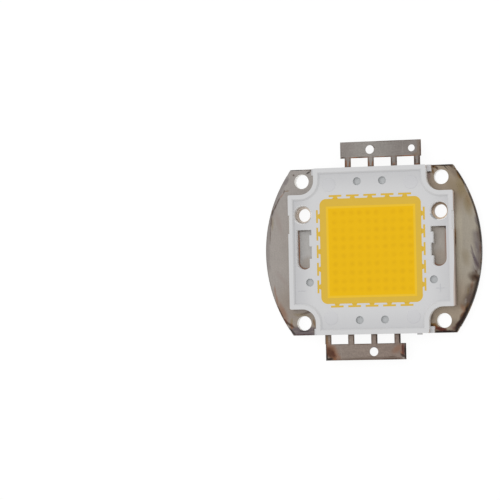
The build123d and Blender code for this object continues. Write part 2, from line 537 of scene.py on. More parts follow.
@dataclass(frozen=True)
class PlatedMetal:
    """Dull plated metal with rolling marks, a slow change of tone and heat stains.

    Attributes:
        name: the material's name.
        left: the tone at the piece's left side.
        right: the tone at its right side.
        half_width: the distance over which the tone changes, from the middle.
        grain: the length and width of the rolling marks.
        contrast: how far the rolling marks and the pits change the tone.
        edge: its side walls.
        stains: its oval stains.
        rims: its stains along round edges.
        casts: its slow changes of tone.
        fine: the width under which a stain keeps a sharp place.
        shine: how strongly the tarnish mirrors.
        back_levels: the levels between which stains start, so that the back has none.
        cloud_size: the size of the slow clouds in its tone.
        cloud_depth: how far they change it.
        pit_size: the size of the pits.
        flecks: the depths of a pit between which a stain turns black in it.
        fleck_strength: how black it turns.
        metal: how metallic clean metal looks, and how much of that a stain takes away.
        roughness: how rough clean metal is, how far that swings and what a stain adds.
        relief: the depth of the rolling marks.
        sharp_edge: the size and reach of the lumps on a narrow stain's edge.
        wide_edge: the same on a wide stain's edge.
        torn_edge: the finer lumps on that.
    """

    name: str
    left: Colour
    right: Colour
    half_width: float
    grain: Point
    edge: CutEdge
    stains: tuple[Stain, ...] = ()
    rims: tuple[RimStain, ...] = ()
    casts: tuple[Cast, ...] = ()
    fine: float = 0.75
    contrast: float = 0.16
    shine: float = 0.2
    back_levels: Point = (0.3, 0.8)
    cloud_size: float = 4.5
    cloud_depth: float = 0.1
    pit_size: float = 0.28
    flecks: Point = (0.56, 0.7)
    fleck_strength: float = 0.55
    metal: Point = (0.7, 0.5)
    roughness: tuple[float, float, float] = (0.46, 0.06, 0.18)
    relief: float = 0.006
    sharp_edge: Point = (0.3, 0.3)
    wide_edge: Point = (1.4, 0.9)
    torn_edge: Point = (0.35, 0.4)

    def material(self) -> bpy.types.Material:
        """Builds the material.

        Returns:
            The material.
        """
        graph = Graph(self.name)
        across = graph.fade(graph.x, -self.half_width, self.half_width)
        tone = graph.mix(across, self.left, self.right)
        cloud = graph.noise(graph.place, self.cloud_size, detail=4.0, seed=1.0)
        marks = graph.noise(graph.place, (*self.grain, 1.0), detail=3.0, seed=2.0)
        pits = graph.noise(graph.place, self.pit_size, detail=2.0, seed=5.0)
        tone = graph.shade(tone, graph.swing(cloud, 1.0, self.cloud_depth))
        tone = graph.shade(tone, graph.swing(marks, 1.0, self.contrast))
        tone = graph.shade(tone, graph.swing(pits, 1.0, self.contrast))
        front = graph.fade(graph.z, *self.back_levels)
        for cast in self.casts:
            tone = graph.tinged(tone, cast, front)
        tone, covered = self.stained(graph, tone, front)
        fleck = graph.times(graph.fade(pits.outputs["Fac"], *self.flecks), covered)
        tone = graph.mix(graph.times(fleck, self.fleck_strength), tone, Tarnish.SCORCH.value)
        wall = graph.steep()
        tone = graph.mix(wall, tone, self.wall_tone(graph))
        # painted light and shade on hole walls: near white at the screw holes, a painted reflection
        # of the white table, and taupe at the locating holes, painted shade
        for at, metal in self.edge.holes:
            painted_hole_wall = graph.times(wall, graph.near((at,), self.edge.hole_radius))
            tone = graph.mix(painted_hole_wall, tone, metal)
        metal, lost = self.metal
        metallic = graph.math("MULTIPLY_ADD", covered, -lost, metal)
        graph.put(graph.shader.inputs["Specular IOR Level"], self.shine)
        rough, depth, added = self.roughness
        dull = graph.math("MULTIPLY_ADD", covered, added, graph.swing(marks, rough, depth))
        return graph.finish(tone, metallic, dull, graph.bump(marks.outputs["Fac"], self.relief))

    def stained(self, graph: Graph, tone: Socket, front: Socket) -> tuple[Socket, Socket]:
        """Lays the stains on the metal.

        Args:
            graph: the material's tree.
            tone: the clean metal.
            front: 1 away from the back.

        Returns:
            The stained metal, and how much of it is covered.
        """
        sharp = graph.wander(graph.flat, *self.sharp_edge, 4.0)
        ragged = graph.wander(graph.wander(graph.flat, *self.wide_edge, 3.0), *self.torn_edge, 4.0)
        covered = 0.0
        for tint in Tarnish:
            layer = 0.0
            for stain in self.stains + self.rims:
                if stain.tint is tint:
                    place = sharp if stain.width < self.fine else ragged
                    lay = graph.blot if isinstance(stain, Stain) else graph.rim_blot
                    layer = graph.most(layer, lay(place, stain))
            layer = graph.times(layer, front)
            tone = graph.mix(layer, tone, tint.value)
            covered = graph.most(covered, layer)
        return tone, covered

    def wall_tone(self, graph: Graph) -> Socket:
        """Works out the tone of the side walls.

        Args:
            graph: the material's tree.

        Returns:
            The tone.
        """
        patchy = graph.noise(graph.place, self.edge.patch_size, detail=3.0, seed=6.0)
        patch = graph.fade(patchy.outputs["Fac"], *self.edge.patch_levels)
        right = graph.mix(patch, self.edge.right, self.edge.patches)
        return graph.mix(graph.fade(graph.x, -1.0, 1.0), self.edge.left, right)


@dataclass(frozen=True)
class MouldedPlastic:
    """White moulded plastic, with painted shade on its floor where it meets the rim, painted light
    on its walls, and grime with painted shade on its outer walls.

    Attributes:
        name: the material's name.
        colour: the plastic.
        dim: the painted shade colour of the floor near the rim.
        pin_floor_shade: the painted shade in the bottom of a pin mark.
        wall_top: the grime and painted shade on the upper part of an outer wall.
        wall_foot: the grime and painted shade on the lower part of an outer wall, darker for the
            shade at its foot.
        wall_low: the grime and painted shade of the outer walls near the lower side.
        low_from: the Y place where that starts.
        low_to: the Y place from where on it is full.
        lit_inner_wall: the near-white painted light on the walls of slots and holes, in place of
            the light that shines through them.
        relief: the painted light on the outer walls, full on the slope that is cut into the outer
            edge.
        clearance: the middle of the room for a screw, in the right upper quarter.
        clearance_radius: how far its walls reach.
        clearance_share: how much of the outer walls' painted light, grime and painted shade they
            take.
        locating: the middle of a locating hole, in the right upper quarter.
        locating_radius: how far its walls reach.
        locating_share: how much less of that painted light their walls get.
        spread_edge: the right edge of the front.
        spread_width: how far the walls' grime and painted shade spread over that edge at the lower
            corner.
        spread_reach: the Y places between which it gets that far.
        spread_share: how much it covers there.
        outer: how far from the middle the other outer walls start.
        clean_share: how much grime and painted shade a wall keeps that doesn't face right.
        grime_and_shade_limit: how level a wall may be and still take grime and painted shade, up to
            1.
        rim_level: the level above which nothing is dim.
        wall_levels: the levels between which a wall's tone changes.
        wall_lumps: the size and reach of the lumps of that line.
        pin_marks: the pin marks, given in the right upper quarter.
        pin_radius: how far a pin mark reaches.
        dimness: how strong the painted shade on the floor is at the left, right, lower and upper
            side.
        dim_from: how far from the middle that starts.
        dim_to: how far from the middle it is full.
        dim_swing: how far the dimness is uneven.
        pin_levels: the levels between which a pin mark's bottom starts.
        facing_levels: how far a wall faces right where its grime and painted shade start and are
            full.
        mottle_size: the size of the slow mottle in its tone.
        mottle_depth: how far that changes it.
        roughness: how rough it is, and how far that swings.
        pore_size: the size of its pores.
        pore_depth: the depth of its pores.
        cloud_size: the size of the clouds in the walls' grime and painted shade.
        cloud_depth: how far they change it.
    """

    name: str = "white_moulded_plastic"
    colour: Colour = paint(204, 204, 205)
    dim: Colour = paint(172, 172, 175)
    pin_floor_shade: Colour = paint(184, 186, 187)
    wall_top: Colour = paint(204, 187, 174)
    wall_foot: Colour = paint(172, 152, 140)
    wall_low: Colour = paint(176, 158, 146)
    low_from: float = 4.0
    low_to: float = -3.0
    lit_inner_wall: Colour = paint(250, 250, 250)
    relief: Colour = paint(232, 232, 232)
    clearance: Point = (17.0, 17.1)
    clearance_radius: float = 5.4
    clearance_share: float = 0.25
    locating: Point = (16.6, 9.0)
    locating_radius: float = 2.7
    locating_share: float = 0.2
    spread_edge: float = 20.0
    spread_width: float = 0.34
    spread_reach: Point = (-1.0, -11.0)
    spread_share: float = 0.8
    outer: float = 19.0
    clean_share: float = 0.4
    grime_and_shade_limit: float = 0.3
    rim_level: float = 4.3
    wall_levels: Point = (2.2, 3.6)
    wall_lumps: Point = (0.8, 0.5)
    pin_marks: tuple[Point, ...] = ((3.05, 16.6), (15.0, 7.35))
    pin_radius: float = 1.1
    dimness: tuple[float, float, float, float] = (0.5, 0.3, 0.3, 0.36)
    dim_from: float = 13.6
    dim_to: float = 18.6
    dim_swing: float = 0.3
    pin_levels: Point = (3.95, 3.85)
    facing_levels: Point = (0.2, 0.8)
    mottle_size: float = 3.0
    mottle_depth: float = 0.02
    roughness: Point = (0.48, 0.06)
    pore_size: float = 0.25
    pore_depth: float = 0.004
    cloud_size: float = 1.5
    cloud_depth: float = 0.12

    def material(self) -> bpy.types.Material:
        """Builds the material.

        Returns:
            The material.
        """
        graph = Graph(self.name)
        mottle = graph.noise(graph.place, self.mottle_size, detail=3.0, seed=11.0)
        pores = graph.noise(graph.place, self.pore_size, detail=2.0, seed=12.0)
        # painted shade: the floor darkens towards the rim, most at the left
        tone = graph.mix(self.shadowed(graph, mottle), self.colour, self.dim)
        in_pin = graph.near(self.pin_marks, self.pin_radius)
        sunk = graph.times(in_pin, graph.fade(graph.z, *self.pin_levels))
        # painted shade in the bottoms of the pin marks
        tone = graph.mix(sunk, tone, self.pin_floor_shade)
        tone = graph.shade(tone, graph.swing(mottle, 1.0, self.mottle_depth))
        outside = self.outside(graph)
        by_locating = graph.near((self.locating,), self.locating_radius)
        plain = graph.most(in_pin, graph.times(by_locating, self.locating_share))
        # painted light: steep walls are lifted towards near white, less at the locating holes and
        # not in the pin marks
        lit = graph.times(graph.steep(), graph.minus(1.0, plain))
        tone = graph.mix(lit, tone, graph.mix(outside, self.lit_inner_wall, self.relief))
        # grime with painted shade on the outer walls, heaviest where they face right, away from the
        # key light
        grime_and_shade_cover = graph.most(self.grime_and_shade(graph, outside), self.edge_spread(graph))
        tone = graph.mix(grime_and_shade_cover, tone, self.wall_tone(graph))
        roughness = graph.swing(mottle, *self.roughness)
        relief = graph.bump(pores.outputs["Fac"], self.pore_depth)
        return graph.finish(tone, 0.0, roughness, relief)

    def outside(self, graph: Graph) -> Socket:
        """Tells the outer walls from the walls of slots, holes and the window.

        Args:
            graph: the material's tree.

        Returns:
            1 at the outer walls and 0 at the others.
        """
        farthest = graph.most(graph.size(graph.x), graph.size(graph.y))
        by_screw = graph.near((self.clearance,), self.clearance_radius)
        by_screw = graph.times(by_screw, self.clearance_share)
        return graph.most(by_screw, graph.fade(farthest, self.outer, self.outer + 0.2))

    def grime_and_shade(self, graph: Graph, outside: Socket) -> Socket:
        """Works out how much grime and painted shade there is: most on outer walls that face right,
        away from the key light.

        Args:
            graph: the material's tree.
            outside: 1 at the outer walls.

        Returns:
            The cover.
        """
        normal = graph.nodes.new("ShaderNodeTexCoord").outputs["Normal"]
        facing = graph.fade(graph.split(normal)[0], *self.facing_levels, 1.0 - self.clean_share)
        share = graph.plus(facing, self.clean_share)
        return graph.times(graph.times(graph.steep(self.grime_and_shade_limit), outside), share)

    def edge_spread(self, graph: Graph) -> Socket:
        """Works out how far the walls' grime and painted shade spread over the right edge of the
        front, most at its lower end.

        Args:
            graph: the material's tree.

        Returns:
            The cover.
        """
        # spreads the walls' grime and painted shade over the front's right edge
        reach = graph.fade(graph.y, *self.spread_reach, self.spread_width)
        inset = graph.minus(graph.minus(self.spread_edge, graph.x), reach)
        cover = graph.fade(reach, 0.02, 0.1, self.spread_share)
        return graph.times(graph.fade(inset, 0.06, -0.04), cover)

    def shadowed(self, graph: Graph, mottle: bpy.types.Node) -> Socket:
        """Works out the painted shade on the floor beside the rim.

        Args:
            graph: the material's tree.
            mottle: the noise that makes it uneven.

        Returns:
            The share of the painted shade colour.
        """
        sides = [(graph.x, -1), (graph.x, 1), (graph.y, -1), (graph.y, 1)]
        share = 0.0
        for (along, sign), depth in zip(sides, self.dimness):
            near = graph.fade(graph.times(along, sign), self.dim_from, self.dim_to)
            share = graph.most(share, graph.times(near, depth))
        share = graph.times(share, graph.swing(mottle, 1.0, self.dim_swing))
        return graph.times(share, graph.fade(graph.z, self.rim_level, self.rim_level - 0.2))

    def wall_tone(self, graph: Graph) -> Socket:
        """Works out the tone of the steep walls: grime with painted shade, darker towards the foot
        and the lower side.

        Args:
            graph: the material's tree.

        Returns:
            The tone.
        """
        ragged = graph.split(graph.wander(graph.place, *self.wall_lumps, 13.0))[2]
        tone = graph.mix(graph.fade(ragged, *self.wall_levels), self.wall_foot, self.wall_top)
        tone = graph.mix(graph.fade(graph.y, self.low_from, self.low_to), tone, self.wall_low)
        cloud = graph.noise(graph.place, self.cloud_size, detail=3.0, seed=14.0)
        return graph.shade(tone, graph.swing(cloud, 1.0, self.cloud_depth))


@dataclass(frozen=True)
class PhosphorGel:
    """Amber silicone full of phosphor, with the dies as dim spots and a paler band over the ledge.

    Attributes:
        amber: the gel over the dies.
        spot: the gel right over a die.
        band: the thin gel over the ledge.
        seam: the line where the gel gets deep.
        deep_at: the middle of the deep gel.
        deep_x: half the width of the deep gel.
        deep_y: half the depth of the deep gel.
        seam_width: the width of that line.
        spots_at: the middle of the field of spots.
        pitch: the distance between dies.
        array_half: half the width of the field of dies.
        spot_size: the diameter of a spot.
        shine: how strongly its surface mirrors.
        cloud_size: the size of the slow clouds in its tone.
        fine_size: the size of the finer clouds.
        cloud_depth: how far either changes it.
        ripple_size: the width of the lines in the band.
        ripple_depth: how far they change its tone.
        roughness: how rough it is, and how far that swings.
        relief: the depth of the clouds.
        spot_blur: how far a spot's edge fades.
        spot_levels: the levels of a noise between which a spot gets full.
        spot_patches: the size of the lumps of that noise.
        spot_drift: the size of the lumps by which spots are shifted, and how far.
    """

    amber: Colour = paint(234, 184, 8)
    spot: Colour = paint(225, 174, 6)
    band: Colour = paint(216, 179, 66)
    seam: Colour = paint(234, 191, 48)
    deep_at: Point = (0.1, -0.2)
    deep_x: float = 10.75
    deep_y: float = 10.9
    seam_width: float = 0.4
    spots_at: Point = (0.45, -0.1)
    pitch: float = 2.03
    array_half: float = 10.2
    spot_size: float = 1.3
    shine: float = 0.09
    cloud_size: float = 3.0
    fine_size: float = 0.5
    cloud_depth: float = 0.02
    ripple_size: float = 0.22
    ripple_depth: float = 0.07
    roughness: Point = (0.36, 0.05)
    relief: float = 0.004
    spot_blur: float = 0.4
    spot_levels: Point = (0.1, 0.7)
    spot_patches: float = 2.2
    spot_drift: Point = (1.3, 0.35)

    def material(self) -> bpy.types.Material:
        """Builds the material.

        Returns:
            The material.
        """
        graph = Graph("amber_phosphor_gel")
        far_x = graph.minus(graph.apart(graph.x, self.deep_at[0]), self.deep_x)
        far_y = graph.minus(graph.apart(graph.y, self.deep_at[1]), self.deep_y)
        outside = graph.most(far_x, far_y)
        cloud = graph.noise(graph.place, self.cloud_size, detail=3.0, seed=21.0)
        fine = graph.noise(graph.place, self.fine_size, detail=3.0, seed=24.0)
        tone = graph.mix(self.spots(graph), self.amber, self.spot)
        in_seam = graph.fade(outside, -self.seam_width - 0.15, 0.1 - self.seam_width)
        tone = graph.mix(in_seam, tone, self.seam)
        band = graph.fade(outside, -0.05, 0.2)
        tone = graph.mix(band, tone, self.band)
        tone = graph.shade(tone, graph.swing(cloud, 1.0, self.cloud_depth))
        tone = graph.shade(tone, graph.swing(fine, 1.0, self.cloud_depth))
        way = graph.add("ShaderNodeCombineXYZ", X=outside).outputs[0]
        ripple = graph.noise(way, self.ripple_size, detail=2.0, seed=22.0)
        lines = graph.times(graph.swing(ripple, 0.0, self.ripple_depth), band)
        tone = graph.shade(tone, graph.plus(lines, 1.0))
        graph.put(graph.shader.inputs["Specular IOR Level"], self.shine)
        roughness = graph.swing(cloud, *self.roughness)
        return graph.finish(tone, 0.0, roughness, graph.bump(cloud.outputs["Fac"], self.relief))

    def spots(self, graph: Graph) -> Socket:
        """Works out the dim spots over the dies.

        Args:
            graph: the material's tree.

        Returns:
            How much of a spot there is at each place.
        """
        half = self.pitch / 2
        shifted = graph.vector("SUBTRACT", graph.flat, (*self.spots_at, 0))
        shifted = graph.wander(shifted, *self.spot_drift, 25.0)
        x, y, _ = graph.split(shifted)
        local_x = graph.math("WRAP", graph.minus(x, half), half, -half)
        local_y = graph.math("WRAP", graph.minus(y, half), half, -half)
        squares = graph.plus(graph.math("POWER", local_x, 2), graph.math("POWER", local_y, 2))
        spot = graph.fade(graph.math("SQRT", squares), self.spot_size / 2 + self.spot_blur, 0.0)
        farthest = graph.most(graph.size(x), graph.size(y))
        inside = graph.fade(farthest, self.array_half + 0.1, self.array_half - 0.1)
        uneven = graph.noise(graph.place, self.spot_patches, detail=1.0, seed=23.0)
        inside = graph.times(spot, inside)
        return graph.times(inside, graph.fade(uneven.outputs["Fac"], *self.spot_levels))


@dataclass(frozen=True)
class DieSurface:
    """Blue-grey sapphire top of a die.

    Attributes:
        colour: its tone.
        grain: the size of its mottle.
        mottle: how far that changes the tone.
        metallic: how metallic it looks.
        roughness: how rough it is, and how far that swings.
        relief: the depth of the mottle.
    """

    colour: Colour = paint(120, 132, 150)
    grain: float = 0.12
    mottle: float = 0.1
    metallic: float = 0.3
    roughness: Point = (0.3, 0.05)
    relief: float = 0.001

    def material(self) -> bpy.types.Material:
        """Builds the material.

        Returns:
            The material.
        """
        graph = Graph("die_surface")
        fine = graph.noise(graph.place, self.grain, detail=2.0, seed=31.0)
        tone = graph.shade(self.colour, graph.swing(fine, 1.0, self.mottle))
        relief = graph.bump(fine.outputs["Fac"], self.relief)
        return graph.finish(tone, self.metallic, graph.swing(fine, *self.roughness), relief)


@dataclass(frozen=True)
class GoldWire:
    """Drawn gold wire.

    Attributes:
        colour: its tone.
        grain: the size of the drawing marks along each axis.
        contrast: how far they change the tone.
        roughness: how rough it is, and how far that swings.
        relief: the depth of the drawing marks.
    """

    colour: Colour = paint(222, 184, 96)
    grain: tuple[float, float, float] = (0.03, 0.4, 0.03)
    contrast: float = 0.08
    roughness: Point = (0.28, 0.06)
    relief: float = 0.001

    def material(self) -> bpy.types.Material:
        """Builds the material.

        Returns:
            The material.
        """
        graph = Graph("gold_wire")
        drawn = graph.noise(graph.place, self.grain, detail=2.0, seed=41.0)
        tone = graph.shade(self.colour, graph.swing(drawn, 1.0, self.contrast))
        relief = graph.bump(drawn.outputs["Fac"], self.relief)
        return graph.finish(tone, 1.0, graph.swing(drawn, *self.roughness), relief)


def dress(names: list[str], material: bpy.types.Material) -> None:
    """Gives CAD nodes their finish.

    Args:
        names: the nodes.
        material: their finish.
    """
    for name in names:
        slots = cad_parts[name].data.materials
        slots.clear()
        slots.append(material)
        LOG.info("dressed %s with %s", name, material.name)


def add_piece(name: str, mesh: bpy.types.Mesh, material: bpy.types.Material) -> bpy.types.Object:
    """Adds a finished mesh as a piece of the part.

    Args:
        name: the piece's name.
        mesh: its mesh, in place.
        material: its finish.

    Returns:
        The piece.
    """
    mesh.name = name
    mesh.materials.clear()
    mesh.materials.append(material)
    piece = bpy.data.objects.new(name, mesh)
    bpy.context.scene.collection.objects.link(piece)
    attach(piece, "root")
    LOG.info("added %s with %d faces", name, len(mesh.polygons))
    return piece


@dataclass
class BasePlate:
    """The plated copper plate.

    Attributes:
        side_radius: the radius of its two curved sides.
        slot_x: the middle of a slot of the frame, from the middle of the part.
        slot_end_y: the centre of a slot's round end.
        slot_half: half a slot's width.
        slot_top: the Y place of the slots' upper end.
        locating_at: the place of the right-hand locating hole.
        locating_radius: the radius of a locating hole.
        screw_at: the place of the screw hole in the right upper quarter.
        screw_radius: the radius of a screw hole.
        wall_x: the frame's outer wall, from the middle of the part.
        wall_reach: how far that wall goes along Y, from the middle.
    """

    side_radius: float = 34.18
    slot_x: float = 16.275
    slot_end_y: float = -2.325
    slot_half: float = 1.875
    slot_top: float = 5.2
    locating_at: Point = (16.6, 9.0)
    locating_radius: float = 1.6
    screw_at: Point = (17.0, 17.1)
    screw_radius: float = 1.75
    wall_x: float = 20.0
    wall_reach: float = 13.7

    def side(self, sign: int) -> Point:
        """Returns the centre of one curved side, 1 for the right and -1 for the left."""
        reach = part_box("base_plate")[1].x / MM
        return (sign * (reach - self.side_radius), 0.0)

    def edge(self, sign: int, inset: float, width: float, low: float, high: float, tint: Tarnish,
             strength: float, softness: float = 0.2) -> RimStain:
        """Makes a stain along one curved side.

        Args:
            sign: 1 for the right side and -1 for the left.
            inset: how far inside the edge its middle lies.
            width: its width.
            low: its lowest Y place.
            high: its highest Y place.
            tint: what it is made of.
            strength: how much it hides.
            softness: the width over which it fades.

        Returns:
            The stain.
        """
        reach = self.side_radius - inset
        return RimStain(self.side(sign), reach, width, low, high, tint, strength, softness)

    def lower_right(self) -> tuple[Stain, ...]:
        """Lists the stains on the lower right tab and beside it, where the heat was worst.

        Returns:
            The stains.
        """
        scorch, brown, red, rust = Tarnish.SCORCH, Tarnish.BROWN, Tarnish.RED, Tarnish.RUST
        gold, violet, bare = Tarnish.GOLD, Tarnish.VIOLET, Tarnish.BARE
        return (
            Stain((24.4, -7.0), (25.4, -7.5), 2.3, brown, 0.97, 0.6),
            Stain((24.8, -6.3), (24.9, -8.2), 0.9, brown, 0.9),
            Stain((24.6, -6.9), (25.6, -7.6), 0.6, scorch, 0.6),
            Stain((19.3, -17.9), (20.3, -18.8), 2.0, brown, 0.3, 0.8),
            Stain((24.71, -5.4), (24.95, -6.2), 0.5, brown, 0.75),
            Stain((23.9, -8.3), (23.6, -9.6), 0.6, rust, 0.5, 0.8),
            Stain((22.82, -9.7), (22.8, -11.2), 0.5, Tarnish.STRAW, 0.6),
            Stain((22.2, -12.3), (22.1, -12.9), 0.5, bare, 0.4),
            Stain((23.4, -11.2), (22.9, -12.9), 1.5, violet, 0.7, 0.8),
            Stain((22.6, -13.5), (22.4, -14.4), 0.9, gold, 0.95),
            Stain((21.4, -14.0), (21.8, -14.8), 1.0, rust, 0.5, 0.8),
            Stain((21.6, -15.6), (21.3, -16.9), 0.9, rust, 0.9, 0.7),
            Stain((21.8, -16.3), (21.2, -17.4), 0.5, red, 0.8),
            Stain((20.8, -17.6), (19.9, -18.6), 0.8, red, 0.9, 0.7),
            Stain((20.0, -18.5), (19.0, -19.2), 0.9, red, 0.6, 0.8),
            Stain((20.6, -18.6), (19.6, -19.8), 0.8, scorch, 0.95),
            Stain((14.3, -19.9), (19.9, -19.85), 0.9, scorch, 0.97),
            Stain((18.3, -18.7), (19.2, -18.9), 0.5, Tarnish.PINK, 0.5),
            Stain((15.4, -18.9), (17.2, -19.4), 1.0, red, 0.97),
            Stain((14.9, -18.6), (15.6, -19.0), 0.8, rust, 0.95),
            Stain((13.95, -17.9), (14.9, -18.35), 0.8, gold, 0.97),
            Stain((13.75, -18.15), (14.0, -18.35), 0.45, brown, 0.9),
            Stain((13.9, -16.9), (14.2, -15.6), 0.35, brown, 0.4),
        )

    def upper_right(self) -> tuple[Stain, ...]:
        """Lists the stains on the upper right tab and along the right side.

        Returns:
            The stains.
        """
        scorch, brown, rust, gold = Tarnish.SCORCH, Tarnish.BROWN, Tarnish.RUST, Tarnish.GOLD
        straw, violet = Tarnish.STRAW, Tarnish.VIOLET
        return (
            Stain((14.9, 19.85), (16.6, 19.9), 0.35, brown, 0.8),
            Stain((16.6, 19.85), (19.6, 19.85), 0.42, scorch, 0.97),
            Stain((15.1, 19.7), (15.4, 19.5), 0.7, gold, 0.9),
            Stain((15.15, 19.7), (15.25, 19.6), 0.4, scorch, 0.8),
            Stain((15.8, 19.4), (16.1, 19.1), 0.5, brown, 0.85),
            Stain((14.95, 18.8), (15.1, 18.2), 0.5, gold, 0.75),
            Stain((13.8, 18.3), (14.4, 18.4), 0.4, scorch, 0.8),
            Stain((14.05, 18.0), (14.1, 17.0), 0.7, Tarnish.PINK, 0.7),
            Stain((17.5, 19.9), (18.6, 18.8), 0.22, scorch, 0.8),
            Stain((18.1, 19.95), (19.0, 19.0), 0.16, brown, 0.7),
            Stain((19.0, 19.85), (19.6, 19.5), 0.6, brown, 0.85),
            Stain((19.4, 19.3), (20.4, 18.8), 0.4, brown, 0.5),
            Stain((19.6, 18.8), (21.0, 17.2), 1.3, brown, 0.3, 0.8),
            Stain((20.3, 18.9), (20.5, 18.8), 0.35, gold, 0.8),
            Stain((20.9, 18.4), (22.0, 16.4), 0.85, gold, 0.9),
            Stain((21.0, 18.4), (21.3, 18.0), 0.55, brown, 0.8),
            Stain((21.1, 18.5), (22.1, 17.0), 0.35, scorch, 0.85),
            Stain((21.6, 15.8), (21.9, 13.4), 2.6, straw, 0.75, 0.8),
            Stain((22.3, 16.0), (22.6, 15.0), 0.8, gold, 0.4, 0.8),
            Stain((19.4, 15.6), (20.6, 13.8), 2.2, straw, 0.3, 0.7),
            Stain((22.6, 14.9), (23.2, 13.3), 0.5, Tarnish.BARE, 0.5),
            Stain((22.65, 15.6), (22.8, 15.4), 0.35, scorch, 0.85),
            Stain((23.2, 12.4), (23.9, 10.2), 1.2, gold, 0.3, 0.8),
            Stain((22.8, 12.0), (23.4, 9.0), 1.6, straw, 0.6, 0.8),
            Stain((24.9, 9.4), (25.5, 7.2), 0.6, rust, 0.55),
            Stain((25.0, 7.2), (25.4, 5.6), 0.7, violet, 0.6),
            Stain((25.5, 5.2), (25.8, 1.2), 0.9, brown, 0.5, 0.8),
        )

    def right_side(self) -> tuple[Stain, ...]:
        """Lists the smears and spots halfway up the right side, and the dirt by the frame.

        Returns:
            The stains.
        """
        scorch, brown, gold, violet = Tarnish.SCORCH, Tarnish.BROWN, Tarnish.GOLD, Tarnish.VIOLET
        foot = self.wall_x + 0.08
        return (
            Stain((23.75, 0.5), (24.3, -2.0), 0.35, violet, 0.6),
            Stain((24.2, -1.6), (25.4, -4.7), 0.9, violet, 0.97),
            Stain((24.8, -3.2), (25.4, -4.9), 0.4, brown, 0.4),
            Stain((24.97, 1.4), (25.6, -1.6), 0.75, violet, 0.7),
            Stain((24.3, -0.5), (24.75, -2.0), 0.3, Tarnish.BARE, 0.4),
            Stain((24.0, -3.3), (24.75, -5.2), 0.25, Tarnish.BARE, 0.5),
            Stain((25.5, -5.4), (25.6, -6.2), 0.5, Tarnish.BARE, 0.5),
            Stain((25.95, 0.6), (25.95, -1.0), 0.4, Tarnish.RED, 0.5),
            Stain((26.1, 2.2), (26.12, 1.5), 0.3, scorch, 0.8),
            Stain((26.1, -2.7), (26.1, -3.0), 0.25, scorch, 0.9),
            Stain((26.0, -3.5), (26.0, -3.7), 0.25, scorch, 0.9),
            Stain((22.3, -1.2), (22.6, -3.2), 1.6, Tarnish.STRAW, 0.3, 0.7),
            Stain((foot, 4.9), (foot, 0.6), 0.34, gold, 0.95),
            Stain((foot, 2.5), (foot, 0.9), 0.24, brown, 0.9),
            Stain((foot, 0.5), (foot, -self.wall_reach), 0.3, brown, 0.25),
        )

    def upper_left(self) -> tuple[Stain, ...]:
        """Lists the stains on the upper left tab and the broken line along the left side.

        Returns:
            The stains.
        """
        scorch, brown, rust, gold = Tarnish.SCORCH, Tarnish.BROWN, Tarnish.RUST, Tarnish.GOLD
        straw, violet = Tarnish.STRAW, Tarnish.VIOLET
        return (
            Stain((-19.4, 19.95), (-16.6, 20.0), 0.32, scorch, 0.85),
            Stain((-16.6, 20.0), (-14.1, 19.85), 0.3, brown, 0.7),
            Stain((-15.6, 19.05), (-15.0, 19.4), 0.4, scorch, 0.7),
            Stain((-14.55, 19.75), (-14.3, 19.5), 0.45, scorch, 0.8),
            Stain((-14.2, 19.2), (-13.9, 17.9), 0.22, brown, 0.55),
            Stain((-19.0, 18.75), (-18.9, 18.7), 0.35, brown, 0.7),
            Stain((-20.6, 17.8), (-21.2, 16.6), 0.8, violet, 0.4),
            Stain((-20.3, 15.0), (-21.1, 14.9), 0.25, gold, 0.6),
            Stain((-21.3, 15.1), (-21.5, 14.5), 0.25, brown, 0.6),
            Stain((-21.6, 14.3), (-22.4, 13.4), 0.25, rust, 0.45),
            Stain((-22.5, 13.3), (-23.2, 12.0), 0.3, brown, 0.65),
            Stain((-23.3, 11.9), (-23.9, 10.6), 0.3, brown, 0.75),
            Stain((-24.1, 10.5), (-24.5, 9.2), 0.35, scorch, 0.6),
            Stain((-24.4, 10.3), (-24.5, 9.6), 0.2, gold, 0.6),
            Stain((-24.6, 8.8), (-24.85, 6.4), 0.28, brown, 0.65),
            Stain((-24.9, 6.4), (-25.1, 2.6), 0.25, brown, 0.45),
            Stain((-24.3, 8.4), (-24.5, 5.8), 0.5, straw, 0.35),
            Stain((-23.5, 9.6), (-22.4, 5.4), 1.2, Tarnish.PINK, 0.2, 0.7),
        )

